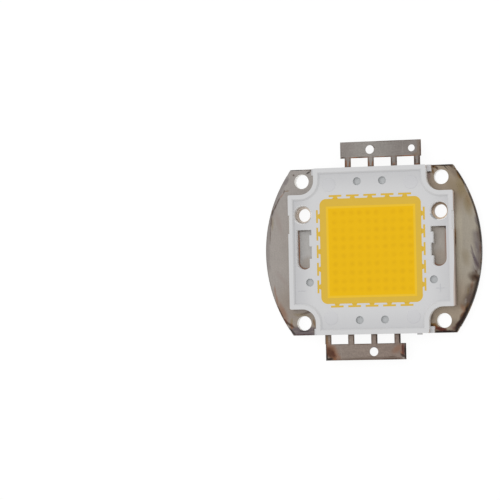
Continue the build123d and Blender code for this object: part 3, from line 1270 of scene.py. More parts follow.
    def lower_left(self) -> tuple[Stain, ...]:
        """Lists the stains on the lower left tab and beside it.

        Returns:
            The stains.
        """
        scorch, brown, red, rust = Tarnish.SCORCH, Tarnish.BROWN, Tarnish.RED, Tarnish.RUST
        gold, straw, violet = Tarnish.GOLD, Tarnish.STRAW, Tarnish.VIOLET
        return (
            Stain((-24.2, -8.2), (-23.95, -10.4), 0.4, rust, 0.35),
            Stain((-23.8, -10.4), (-23.5, -12.4), 0.5, rust, 0.4),
            Stain((-23.6, -12.6), (-21.9, -16.3), 0.3, brown, 0.85),
            Stain((-22.9, -13.0), (-21.6, -16.0), 1.3, rust, 0.45, 0.8),
            Stain((-21.9, -16.1), (-21.3, -16.9), 0.55, red, 0.8),
            Stain((-21.2, -16.9), (-19.7, -17.9), 0.6, brown, 0.8),
            Stain((-20.2, -17.4), (-20.1, -18.0), 0.7, rust, 0.7),
            Stain((-20.1, -16.2), (-20.2, -17.0), 0.6, straw, 0.5),
            Stain((-20.0, -18.6), (-14.6, -18.7), 1.5, violet, 0.85),
            Stain((-19.9, -19.5), (-14.4, -19.6), 0.9, violet, 0.9),
            Stain((-19.4, -19.85), (-15.4, -19.9), 0.3, red, 0.6),
            Stain((-20.6, -18.3), (-19.3, -19.8), 0.45, scorch, 0.75),
            Stain((-19.0, -19.95), (-14.3, -19.95), 0.3, scorch, 0.6),
            Stain((-18.0, -18.95), (-16.2, -18.95), 0.35, scorch, 0.7),
            Stain((-14.5, -19.2), (-14.6, -18.3), 0.4, brown, 0.6),
            Stain((-14.75, -16.4), (-14.5, -17.6), 0.45, gold, 0.6),
            Stain((-15.2, -14.2), (-17.6, -14.9), 0.5, brown, 0.45),
            Stain((-16.0, -15.2), (-19.2, -15.0), 0.8, straw, 0.4),
            Stain((-23.3, -5.0), (-21.4, -7.4), 1.0, Tarnish.PINK, 0.18, 0.7),
        )

    def rims(self) -> tuple[RimStain, ...]:
        """Lists the stains along the curved sides and round the holes.

        Returns:
            The stains.
        """
        scorch, brown, violet, rust = Tarnish.SCORCH, Tarnish.BROWN, Tarnish.VIOLET, Tarnish.RUST
        x, y = self.locating_at
        stains = [
            self.edge(1, 0.1, 0.35, 1.0, 18.5, scorch, 0.75, 0.12),
            self.edge(1, 1.0, 2.0, -14.0, -8.4, brown, 0.62, 1.1),
            self.edge(1, 0.5, 0.9, -17.0, -6.0, brown, 0.8, 0.5),
            self.edge(1, 0.15, 0.5, -19.2, -7.6, scorch, 0.92, 0.3),
            self.edge(1, 0.4, 0.9, -19.6, -13.8, scorch, 0.92, 0.4),
            self.edge(1, 0.8, 1.8, -6.0, 4.0, violet, 0.55, 0.8),
            self.edge(1, 0.4, 0.6, -6.0, 3.0, brown, 0.4, 0.4),
            self.edge(1, 0.1, 0.25, -6.5, 0.5, brown, 0.6, 0.12),
            self.edge(-1, 0.45, 0.9, -4.0, 16.8, violet, 0.22, 0.3),
            self.edge(-1, 0.1, 0.2, -12.0, 17.5, brown, 0.3, 0.12),
            RimStain((x, y), self.locating_radius + 0.25, 0.7, y + 0.2, y + 3, brown, 0.45),
            RimStain((-x, y), self.locating_radius + 0.35, 0.3, y - 3, y - 0.9, brown, 0.4),
        ]
        for sign in (-1, 1):
            at = (sign * self.slot_x, self.slot_end_y)
            reach = self.slot_half - 0.2
            stains.append(RimStain(at, reach, 0.35, -5.0, self.slot_end_y, rust, 0.6, 0.12))
        return tuple(stains)

    def slots(self) -> tuple[Stain, ...]:
        """Lists the brown lines along the slots, where the frame's wall meets the plate.

        Returns:
            The stains.
        """
        right = self.slot_x + self.slot_half - 0.3
        left = -self.slot_x - self.slot_half + 0.25
        top = self.slot_top
        scorch, brown, rust = Tarnish.SCORCH, Tarnish.BROWN, Tarnish.RUST
        return (
            Stain((right, top), (right, -2.6), 0.36, rust, 0.75),
            Stain((right - 0.4, 5.0), (right - 0.4, -2.4), 0.3, Tarnish.PINK, 0.35),
            Stain((right - 2.0, top), (right, top), 0.3, brown, 0.8),
            Stain((right - 0.2, top), (right, top - 0.3), 0.5, scorch, 0.7),
            Stain((left, top), (left, -2.6), 0.36, rust, 0.85),
            Stain((left, top), (left + 2.4, top), 0.25, brown, 0.6),
        )

    def casts(self) -> tuple[Cast, ...]:
        """Lists the slow changes of tone: darker tabs, and painted light that lifts the plate out
        of its shade in the slots, round the locating holes and beside the frame's right wall.

        Returns:
            The changes.
        """
        x, y = self.screw_at
        return (
            Cast((-x - 1.0, y), (11.0, 11.0), (0.97, 0.98, 1.0)),
            Cast((-x - 2.0, 1.0 - y), (11.0, 11.0), (0.87, 0.82, 0.77)),
            Cast((x + 1.0, y), (11.0, 11.0), (0.86, 0.78, 0.72)),
            Cast((x + 1.5, 1.0 - y), (12.0, 12.0), (0.94, 0.86, 0.8)),
            # painted light: lifts the plate in the slots out of the frame's shade
            Cast((self.slot_x, 0.5), (3.4, 9.0), (1.01, 1.02, 1.1)),
            Cast((-self.slot_x, 1.2), (3.4, 9.0), (1.22, 1.3, 1.38)),
            Cast((self.slot_x, self.slot_end_y), (3.0, 3.0), (0.9, 0.86, 0.82)),
            Cast((-self.slot_x + 0.6, self.slot_end_y - 0.6), (2.6, 2.6), (0.85, 0.8, 0.75)),
            # painted light: lifts the ring of plate round each locating hole out of the frame's
            # shade
            Cast(self.locating_at, (3.6, 3.6), (1.9, 1.68, 1.5)),
            Cast((-self.locating_at[0], self.locating_at[1]), (3.6, 3.6), (2.1, 2.0, 1.88)),
            # painted light: lifts the plate beside the frame's right wall out of its contact shadow
            Cast((self.wall_x + 0.7, 3.0), (1.5, 14.0), (1.15, 1.15, 1.12)),
        )

    def finish(self) -> PlatedMetal:
        """Describes the plate's metal.

        Returns:
            Its finish.
        """
        # screw hole walls: a painted reflection of the white table; locating hole walls: painted
        # shade
        holes = ((self.screw_at, paint(236, 234, 230)), (self.locating_at, paint(176, 158, 140)))
        stains = self.lower_right() + self.upper_right() + self.right_side()
        stains += self.upper_left() + self.lower_left() + self.slots()
        return PlatedMetal(
            name="plated_base",
            left=paint(140, 134, 129),
            right=paint(142, 135, 123),
            half_width=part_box("base_plate")[1].x / MM,
            grain=(0.24, 2.6),
            edge=CutEdge(
                left=paint(120, 108, 100),
                # painted shade: the plate's right walls face away from the key light and are
                # painted near black; the brown patches are stains
                right=paint(40, 29, 23),
                patches=paint(108, 80, 46),
                holes=holes,
                hole_radius=self.screw_radius + 0.4,
            ),
            stains=stains,
            rims=self.rims(),
            casts=self.casts(),
        )

    def build(self) -> None:
        """Dresses the plate."""
        dress(["base_plate"], self.finish().material())


@dataclass
class Leads:
    """The two stamped leads.

    Attributes:
        bar_inner_y: the Y place of the solder bars' inner edge.
        bar_outer_y: the Y place of the solder bars' outer edge.
        frame_y: where the legs leave the frame.
        leg_half: half the width of a leg.
        positive_legs: the X places of the legs of the lead with two holes.
        negative_legs: the X places of the legs of the lead with one hole.
        half_length: half the length of a solder bar, over which its tone changes.
        grain: the size of its rolling marks along X and along Y.
    """

    bar_inner_y: float = 22.25
    bar_outer_y: float = 26.15
    frame_y: float = 20.0
    leg_half: float = 0.725
    positive_legs: tuple[float, ...] = (-5.4, 0.2, 5.8, 11.4)
    negative_legs: tuple[float, ...] = (-11.05, -5.45, 0.15, 5.75)
    half_length: float = 10.0
    grain: Point = (2.2, 0.4)

    def leg_stains(self, places: tuple[float, ...], sign: int, tint: Tarnish) -> list[Stain]:
        """Makes the dark lines along both edges of each leg, and across its foot a line that is
        partly brown stain and partly painted shade where the leg runs under the frame.

        The lines on the right-hand edges get darker from leg to leg.

        Args:
            places: the X places of the legs.
            sign: 1 for the upper lead and -1 for the lower.
            tint: what the lines are made of.

        Returns:
            The stains.
        """
        stains = []
        for number, x in enumerate(places):
            near, far = sign * self.frame_y, sign * self.bar_inner_y
            for side in (-1, 1):
                edge = x + side * (self.leg_half - 0.12)
                strength = 0.55 + (0.1 * number if side > 0 else 0.0)
                stains.append(Stain((edge, near), (edge, far), 0.3, tint, strength))
            # the line across the foot is partly stain, partly painted shade where the leg meets the
            # frame
            foot = near + sign * 0.1
            stains.append(Stain((x - 0.5, foot), (x + 0.5, foot), 0.5, tint, 0.4))
        return stains

    def positive(self) -> PlatedMetal:
        """Describes the metal of the lead with two holes.

        Returns:
            Its finish.
        """
        inner, outer = self.bar_inner_y, self.bar_outer_y
        brown, rust, gold, bare = Tarnish.BROWN, Tarnish.RUST, Tarnish.GOLD, Tarnish.BARE
        first, second, third, fourth = self.positive_legs
        stains = [
            Stain((first + 0.7, inner + 0.08), (second - 0.7, inner + 0.08), 0.3, rust, 0.95),
            Stain((first + 2.4, inner + 0.12), (first + 3.9, inner + 0.12), 0.26, brown, 0.9),
            Stain((second + 0.7, inner + 0.05), (third - 0.7, inner + 0.05), 0.22, rust, 0.85),
            Stain((second + 3.4, inner + 0.1), (third - 0.8, inner + 0.1), 0.24, brown, 0.75),
            Stain((third + 0.7, inner + 0.08), (fourth - 0.7, inner + 0.08), 0.28, rust, 0.95),
            Stain((third + 0.9, inner + 0.12), (third + 2.4, inner + 0.12), 0.2, brown, 0.8),
            Stain((-7.1, inner + 0.1), (-6.1, inner + 0.1), 0.35, brown, 0.8),
            Stain((-7.0, inner + 0.1), (-7.05, outer - 0.4), 0.22, brown, 0.35),
            Stain((1.7, outer - 0.08), (7.6, outer - 0.08), 0.2, brown, 0.75),
            Stain((7.6, outer - 0.06), (12.3, outer - 0.06), 0.16, brown, 0.5),
            Stain((12.28, outer - 0.2), (12.28, inner), 0.3, brown, 0.8),
            Stain((11.9, outer - 0.2), (11.9, inner), 0.9, gold, 0.25, 0.7),
            Stain((10.6, inner + 0.3), (12.2, inner + 0.4), 0.8, gold, 0.3, 0.7),
            Stain((0.7, 25.1), (1.15, 24.6), 0.25, brown, 0.6),
            Stain((7.95, inner + 0.2), (8.05, outer - 0.1), 0.12, bare, 0.35),
            Stain((first - 0.45, 20.1), (first - 0.4, 21.6), 0.45, rust, 0.85),
            Stain((first + 0.45, 20.1), (first + 0.5, 21.3), 0.4, rust, 0.7),
            Stain((second - 0.45, 20.1), (second - 0.5, 21.4), 0.45, rust, 0.7),
            Stain((second + 0.4, 20.1), (second + 0.5, 21.2), 0.4, rust, 0.75),
            Stain((third - 0.5, 20.1), (third - 0.55, 21.7), 0.35, brown, 0.85),
            Stain((third - 0.2, 20.1), (third + 0.1, 20.6), 0.5, rust, 0.5),
            Stain((fourth - 0.5, 20.1), (fourth - 0.5, 21.8), 0.4, brown, 0.85),
            Stain((fourth - 0.3, 20.15), (fourth + 0.4, 20.2), 0.5, rust, 0.9),
            Stain((fourth + 0.5, 20.1), (fourth + 0.55, 22.2), 0.35, brown, 0.9),
        ]
        stains += self.leg_stains(self.positive_legs, 1, brown)
        return PlatedMetal(
            name="plated_lead_positive",
            left=paint(122, 116, 112),
            right=paint(116, 110, 106),
            half_width=self.half_length,
            grain=self.grain,
            edge=CutEdge(paint(110, 92, 78), paint(86, 66, 52), paint(128, 88, 56)),
            stains=tuple(stains),
            casts=(Cast((0.5, (inner + outer) / 2), (7.0, 7.0), (1.14, 1.18, 1.18)),),
            contrast=0.24,
        )

    def negative(self) -> PlatedMetal:
        """Describes the metal of the lead with one hole.

        Returns:
            Its finish.
        """
        inner, outer = -self.bar_inner_y, -self.bar_outer_y
        scorch, brown, red, rust = Tarnish.SCORCH, Tarnish.BROWN, Tarnish.RED, Tarnish.RUST
        gold, violet, bare = Tarnish.GOLD, Tarnish.VIOLET, Tarnish.BARE
        first, second, third, fourth = self.negative_legs
        stains = [
            Stain((-10.9, -23.2), (-9.6, -25.2), 2.2, rust, 0.75, 0.8),
            Stain((-10.7, -23.5), (-10.2, -25.2), 1.7, brown, 0.6, 0.8),
            Stain((-11.1, -23.6), (-10.6, -25.0), 1.1, red, 0.8),
            Stain((-10.2, -24.0), (-9.7, -24.9), 0.9, red, 0.85),
            Stain((-9.9, -25.3), (-9.4, -25.9), 0.7, rust, 0.9),
            Stain((-11.5, -24.7), (-11.5, -26.1), 0.5, scorch, 0.95),
            Stain((-11.3, -25.9), (-10.3, -25.8), 0.6, scorch, 0.85),
            Stain((-11.55, -22.0), (-11.55, -24.6), 0.3, brown, 0.85),
            Stain((-9.0, -25.0), (-8.5, -25.6), 0.8, rust, 0.4, 0.7),
            Stain((-9.7, outer + 0.08), (-5.0, outer + 0.08), 0.18, brown, 0.6),
            Stain((-8.6, outer + 0.3), (6.6, outer + 0.3), 0.6, brown, 0.4, 0.8),
            Stain((-8.0, inner - 0.2), (-7.95, outer + 0.2), 0.12, bare, 0.35),
            Stain((first + 0.7, inner - 0.06), (second - 0.7, inner - 0.06), 0.22, brown, 0.75),
            Stain((second + 0.7, inner - 0.08), (third - 0.7, inner - 0.08), 0.26, brown, 0.65),
            Stain((third + 0.7, inner - 0.06), (fourth - 0.7, inner - 0.06), 0.22, brown, 0.85),
            Stain((fourth + 0.8, inner - 0.06), (7.7, inner - 0.06), 0.2, scorch, 0.8),
            Stain((1.8, outer + 0.25), (6.4, outer + 0.3), 0.5, brown, 0.6),
            Stain((3.6, outer + 0.7), (5.2, outer + 0.75), 0.3, brown, 0.5),
            Stain((2.2, outer + 0.08), (6.6, outer + 0.08), 0.18, scorch, 0.6),
            Stain((-1.4, -25.3), (1.0, -25.6), 0.3, brown, 0.35),
            Stain((6.2, -23.2), (5.2, -24.0), 1.4, rust, 0.35, 0.7),
            Stain((7.0, -22.6), (7.1, -24.9), 0.65, red, 0.85),
            Stain((6.6, -24.4), (7.0, -24.9), 0.5, rust, 0.6),
            Stain((6.7, -25.0), (7.4, -25.5), 0.6, scorch, 0.7),
            Stain((7.6, inner), (7.6, outer), 0.45, scorch, 0.95),
            Stain((7.05, -25.75), (7.25, -25.9), 0.4, bare, 0.7),
            Stain((first - 0.3, -20.2), (first - 0.3, -22.2), 0.6, gold, 0.6),
            Stain((fourth + 0.55, -20.0), (fourth + 0.55, -22.2), 0.35, scorch, 0.8),
            Stain((third + 0.55, -20.0), (third + 0.55, -22.0), 0.3, scorch, 0.55),
            Stain((-0.6, -23.1), (0.9, -23.2), 0.3, violet, 0.5),
        ]
        stains += self.leg_stains(self.negative_legs, -1, brown)
        return PlatedMetal(
            name="plated_lead_negative",
            left=paint(124, 113, 105),
            right=paint(119, 105, 97),
            half_width=self.half_length,
            grain=self.grain,
            edge=CutEdge(paint(98, 80, 68), paint(70, 54, 46), paint(98, 66, 48)),
            stains=tuple(stains),
            contrast=0.3,
        )

    def build(self) -> None:
        """Dresses both leads."""
        dress(["lead_positive"], self.positive().material())
        dress(["lead_negative"], self.negative().material())


def grown(name: str, tree: bpy.types.NodeTree, values: Inputs) -> bpy.types.Mesh:
    """Runs a Geometry Nodes tree once and keeps its result as a plain mesh.

    Args:
        name: the mesh's name.
        tree: the tree.
        values: the tree's inputs, as socket type and value by name.

    Returns:
        The mesh.
    """
    maker = bpy.data.objects.new(f"{name}_maker", bpy.data.meshes.new(f"{name}_maker"))
    bpy.context.scene.collection.objects.link(maker)
    modifier = maker.modifiers.new("rule", "NODES")
    modifier.node_group = tree
    for item in tree.interface.items_tree:
        if item.in_out == "INPUT":
            modifier[item.identifier] = values[item.name][1]
    finished = maker.evaluated_get(bpy.context.evaluated_depsgraph_get())
    mesh = bpy.data.meshes.new_from_object(finished)
    mesh.name = name
    bpy.data.objects.remove(maker)
    return mesh


def rule_tree(name: str, values: Inputs) -> tuple[bpy.types.NodeTree, Wiring, object]:
    """Starts a Geometry Nodes tree with named inputs.

    Args:
        name: the tree's name.
        values: its inputs, as socket type and value by name.

    Returns:
        The tree, its wiring and its inputs inside.
    """
    tree = bpy.data.node_groups.new(name, "GeometryNodeTree")
    for label, (kind, _) in values.items():
        tree.interface.new_socket(name=label, in_out="INPUT", socket_type=kind)
    tree.interface.new_socket(name="Geometry", in_out="OUTPUT", socket_type="NodeSocketGeometry")
    rule = Wiring(tree)
    return tree, rule, rule.nodes.new("NodeGroupInput").outputs


@dataclass
class GelSurface:
    """The gel's own surface: it creeps up the walls, dips over the dies and ripples over the ledge.

    Attributes:
        corner_radius: the radius of the window's corners.
        cell: the size of one cell of its surface.
        sunk: how far it reaches into the gel below.
        skin: its thinnest part.
        creep: how far it climbs at the walls.
        creep_width: how fast that fades.
        pitch: the distance between dies.
        dip: how deep it sinks between dies.
        swell: the height of its slow swells.
        swell_size: the size of its slow swells.
        width: the window's width.
        depth: the window's depth.
        top: the level of the gel.
        seed: which swells it has.
    """

    corner_radius: float = 1.6
    cell: float = 0.2
    sunk: float = 0.03
    skin: float = 0.006
    creep: float = 0.04
    creep_width: float = 0.45
    pitch: float = 2.0
    dip: float = 0.006
    swell: float = 0.008
    swell_size: float = 6.0
    width: float = 24.6
    depth: float = 25.2
    top: float = 3.95
    seed: float = 7.0

    def inputs(self) -> Inputs:
        """Lists the tree's inputs, with lengths in metres.

        Returns:
            Their socket types and values by name.
        """
        lengths = {
            "Width": self.width,
            "Depth": self.depth,
            "Corner radius": self.corner_radius,
            "Bottom level": self.top - self.sunk,
            "Top level": self.top + self.skin,
            "Creep": self.creep,
            "Creep width": self.creep_width,
            "Die pitch": self.pitch,
            "Dip": self.dip,
            "Swell": self.swell,
            "Swell size": self.swell_size,
        }
        table: Inputs = {}
        for name, value in lengths.items():
            table[name] = ("NodeSocketFloat", value * MM)
        table["Cells across"] = ("NodeSocketInt", round(self.width / self.cell))
        table["Cells along"] = ("NodeSocketInt", round(self.depth / self.cell))
        table["Seed"] = ("NodeSocketFloat", self.seed)
        return table

    def tree(self, material: bpy.types.Material) -> bpy.types.NodeTree:
        """Builds the Geometry Nodes tree of the surface.

        Args:
            material: its finish.

        Returns:
            The tree, with named inputs.
        """
        tree, rule, given = rule_tree("gel_surface_rule", self.inputs())
        box = self.slab(rule, given)
        place = self.rounded_place(rule, given)
        rounded = rule.add("GeometryNodeSetPosition", Geometry=box, Position=place)
        height = self.height(rule, given)
        raised = rule.add("GeometryNodeSetPosition", Geometry=rounded.outputs[0], Position=height)
        real = rule.add("GeometryNodeRealizeInstances", Geometry=raised.outputs[0])
        finished = rule.add("GeometryNodeSetMaterial", Geometry=real.outputs[0], Material=material)
        rule.add("NodeGroupOutput", Geometry=finished.outputs[0])
        return tree

    def slab(self, rule: Wiring, given: object) -> Socket:
        """Adds a box two points high and as fine as the cells ask.

        Args:
            rule: the tree.
            given: the tree's inputs.

        Returns:
            The box.
        """
        size = rule.add("ShaderNodeCombineXYZ", X=given["Width"], Y=given["Depth"], Z=MM)
        across = rule.plus(given["Cells across"], 1)
        along = rule.plus(given["Cells along"], 1)
        cube = rule.add("GeometryNodeMeshCube", Size=size.outputs[0],
                        Vertices_X=across, Vertices_Y=along)
        return cube.outputs["Mesh"]

    def corner(self, rule: Wiring, given: object) -> tuple[Socket, Socket]:
        """Splits a place into its nearest point on the inner rectangle and the way from there.

        Args:
            rule: the tree.
            given: the tree's inputs.

        Returns:
            The nearest point, and the way from there to the place.
        """
        at = rule.nodes.new("GeometryNodeInputPosition").outputs[0]
        place = rule.vector("MULTIPLY", at, (1, 1, 0))
        size = rule.add("ShaderNodeCombineXYZ", X=given["Width"], Y=given["Depth"]).outputs[0]
        twice = rule.times(given["Corner radius"], 2)
        round_off = rule.add("ShaderNodeCombineXYZ", X=twice, Y=twice).outputs[0]
        inner = rule.vector("SCALE", rule.vector("SUBTRACT", size, round_off), scale=0.5)
        capped = rule.vector("MINIMUM", place, inner)
        nearest = rule.vector("MAXIMUM", capped, rule.vector("SCALE", inner, scale=-1.0))
        return nearest, rule.vector("SUBTRACT", place, nearest)

    def rounded_place(self, rule: Wiring, given: object) -> Socket:
        """Pulls the square corners in to round ones.

        Args:
            rule: the tree.
            given: the tree's inputs.

        Returns:
            The new place, at its old height.
        """
        nearest, way = self.corner(rule, given)
        way_x, way_y, _ = rule.split(rule.vector("ABSOLUTE", way))
        square = rule.most(way_x, way_y)
        shrink = rule.math("DIVIDE", square, rule.most(rule.vector("LENGTH", way), 1e-9))
        flat = rule.vector("ADD", nearest, rule.vector("SCALE", way, scale=shrink))
        at = rule.nodes.new("GeometryNodeInputPosition").outputs[0]
        return rule.vector("ADD", flat, rule.vector("MULTIPLY", at, (0, 0, 1)))

    def height(self, rule: Wiring, given: object) -> Socket:
        """Works out the level of each point: the bottom is flat and the top follows the rule.

        Args:
            rule: the tree.
            given: the tree's inputs.

        Returns:
            The new place.
        """
        _, way = self.corner(rule, given)
        x, y, z = rule.split(rule.nodes.new("GeometryNodeInputPosition").outputs[0])
        from_side = rule.minus(rule.times(given["Width"], 0.5), rule.size(x))
        from_end = rule.minus(rule.times(given["Depth"], 0.5), rule.size(y))
        from_corner = rule.minus(given["Corner radius"], rule.vector("LENGTH", way))
        from_wall = rule.least(rule.least(from_side, from_end), from_corner)
        steps = rule.math("DIVIDE", rule.times(from_wall, -1), given["Creep width"])
        fall = rule.math("EXPONENT", steps)
        level = rule.math("MULTIPLY_ADD", fall, given["Creep"], given["Top level"])
        turn = rule.math("DIVIDE", math.tau, given["Die pitch"])
        waves = rule.times(rule.math("COSINE", rule.times(x, turn)),
                          rule.math("COSINE", rule.times(y, turn)))
        level = rule.math("MULTIPLY_ADD", rule.times(waves, -0.5), given["Dip"], level)
        scaled = rule.add("ShaderNodeCombineXYZ", X=rule.math("DIVIDE", x, given["Swell size"]),
                          Y=rule.math("DIVIDE", y, given["Swell size"]))
        swell = rule.noise(scaled.outputs[0], 1.0, detail=1.0)
        rule.put(swell.inputs["W"], given["Seed"])
        level = rule.math("MULTIPLY_ADD", swell.outputs[0], given["Swell"], level)
        on_top = rule.math("GREATER_THAN", z, 0)
        rise = rule.times(on_top, rule.minus(level, given["Bottom level"]))
        lifted = rule.plus(given["Bottom level"], rise)
        return rule.add("ShaderNodeCombineXYZ", X=x, Y=y, Z=lifted).outputs[0]

    def build(self) -> None:
        """Dresses the gel and lays its surface on it."""
        material = PhosphorGel().material()
        dress(["phosphor_gel"], material)
        mesh = grown("gel_surface", self.tree(material), self.inputs())
        add_piece("gel_surface", mesh, material)


@dataclass
class MouldMarks:
    """Four low round marks that the mould leaves in the corners of the frame's floor.

    Attributes:
        spacing_x: the distance between marks along X.
        spacing_y: the distance between marks along Y.
        radius: the radius of a mark's foot.
        slope: the width of its sloping rim.
        height: how far it stands up.
        sunk: how far it reaches into the frame.
        floor: the level of the frame's floor.
        facets: how many facets go round a mark.
    """

    spacing_x: float = 19.9
    spacing_y: float = 32.0
    radius: float = 1.75
    slope: float = 0.2
    height: float = 0.07
    sunk: float = 0.02
    floor: float = 4.0
    facets: int = 96

    def inputs(self) -> Inputs:
        """Lists the tree's inputs, with lengths in metres.

        Returns:
            Their socket types and values by name.
        """
        lengths = {
            "Spacing across": self.spacing_x,
            "Spacing along": self.spacing_y,
            "Foot radius": self.radius,
            "Top radius": self.radius - self.slope,
            "Thickness": self.height + self.sunk,
            "Bottom level": self.floor - self.sunk,
        }
        table: Inputs = {}
        for name, value in lengths.items():
            table[name] = ("NodeSocketFloat", value * MM)
        table["Facets"] = ("NodeSocketInt", self.facets)
        return table

    def tree(self, material: bpy.types.Material) -> bpy.types.NodeTree:
        """Builds the Geometry Nodes tree that sets one mark on each point of a grid.

        Args:
            material: the marks' finish.

        Returns:
            The tree, with named inputs.
        """
        tree, rule, given = rule_tree("mould_mark_rule", self.inputs())
        grid = rule.add("GeometryNodeMeshGrid", Size_X=given["Spacing across"],
                        Size_Y=given["Spacing along"], Vertices_X=2, Vertices_Y=2)
        mark = rule.add("GeometryNodeMeshCone", Vertices=given["Facets"], Depth=given["Thickness"],
                        Radius_Top=given["Top radius"], Radius_Bottom=given["Foot radius"])
        placed = rule.add("GeometryNodeInstanceOnPoints", Points=grid.outputs["Mesh"],
                          Instance=mark.outputs["Mesh"])
        lift = rule.add("ShaderNodeCombineXYZ", Z=given["Bottom level"])
        real = rule.add("GeometryNodeRealizeInstances", Geometry=placed.outputs[0])
        raised = rule.add("GeometryNodeSetPosition", Geometry=real.outputs[0],
                          Offset=lift.outputs[0])
        finished = rule.add("GeometryNodeSetMaterial", Geometry=raised.outputs[0],
                            Material=material)
        rule.add("NodeGroupOutput", Geometry=finished.outputs[0])
        return tree

    def build(self, material: bpy.types.Material) -> None:
        """Sets the marks on the frame.

        Args:
            material: their finish.
        """
        mesh = grown("mould_marks", self.tree(material), self.inputs())
        add_piece("mould_marks", mesh, material)


@dataclass
class PolarityMarks:
    """The raised plus and minus signs beside the window.

    Attributes:
        plus_at: the middle of the plus sign.
        minus_at: the middle of the minus sign.
        length: the length of an arm.
        width: the width of an arm.
        height: how far a sign stands up.
        bevel: the bevel of its upper edges.
        sunk: how far it reaches into the frame.
        above_gel: how far the frame's floor lies above the gel.
        second_share: how high the plus sign's second bar is, so that their tops don't coincide.
    """

    plus_at: Point = (16.5, -9.4)
    minus_at: Point = (-16.98, -9.33)
    length: float = 2.1
    width: float = 0.24
    height: float = 0.07
    bevel: float = 0.04
    sunk: float = 0.02
    above_gel: float = 0.05
    second_share: float = 0.9

    def bar(self, shape: bmesh.types.BMesh, at: Point, size: Point, height: float) -> None:
        """Adds one bar with bevelled upper edges.

        Args:
            shape: the mesh being made.
            at: the bar's middle.
            size: its length along X and along Y.
            height: how far it stands up.
        """
        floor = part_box("phosphor_gel")[1].z / MM + self.above_gel
        made = bmesh.ops.create_cube(shape, size=1.0)["verts"]
        for vert in made:
            vert.co.x = (at[0] + vert.co.x * size[0]) * MM
            vert.co.y = (at[1] + vert.co.y * size[1]) * MM
            vert.co.z = (floor + (height if vert.co.z > 0 else -self.sunk)) * MM
        own = [edge for edge in shape.edges if edge.verts[0] in made]
        upper = [edge for edge in own if min(vert.co.z for vert in edge.verts) > floor * MM]
        bmesh.ops.bevel(shape, geom=upper, offset=self.bevel * MM, segments=2, affect="EDGES",
                        profile=0.5)

    def build(self, material: bpy.types.Material) -> None:
        """Makes both signs.

        Args:
            material: the frame's finish.
        """
        across, along = (self.length, self.width), (self.width, self.length)
        second = self.height * self.second_share
        signs = {
            "plus_sign": [(self.plus_at, across, self.height), (self.plus_at, along, second)],
            "minus_sign": [(self.minus_at, across, self.height)],
        }
        for name, bars in signs.items():
            shape = bmesh.new()
            for at, size, height in bars:
                self.bar(shape, at, size, height)
            mesh = bpy.data.meshes.new(name)
            shape.to_mesh(mesh)
            shape.free()
            add_piece(name, mesh, material)


@dataclass
class Window:
    """What is under the gel: the strings of dies and their wires."""

    def build(self) -> None:
        """Dresses the dies and the wires."""
        names = sorted(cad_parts)
        dress([n for n in names if n.startswith("die_string")], DieSurface().material())
        dress([n for n in names if n.startswith("bond_wires")], GoldWire().material())


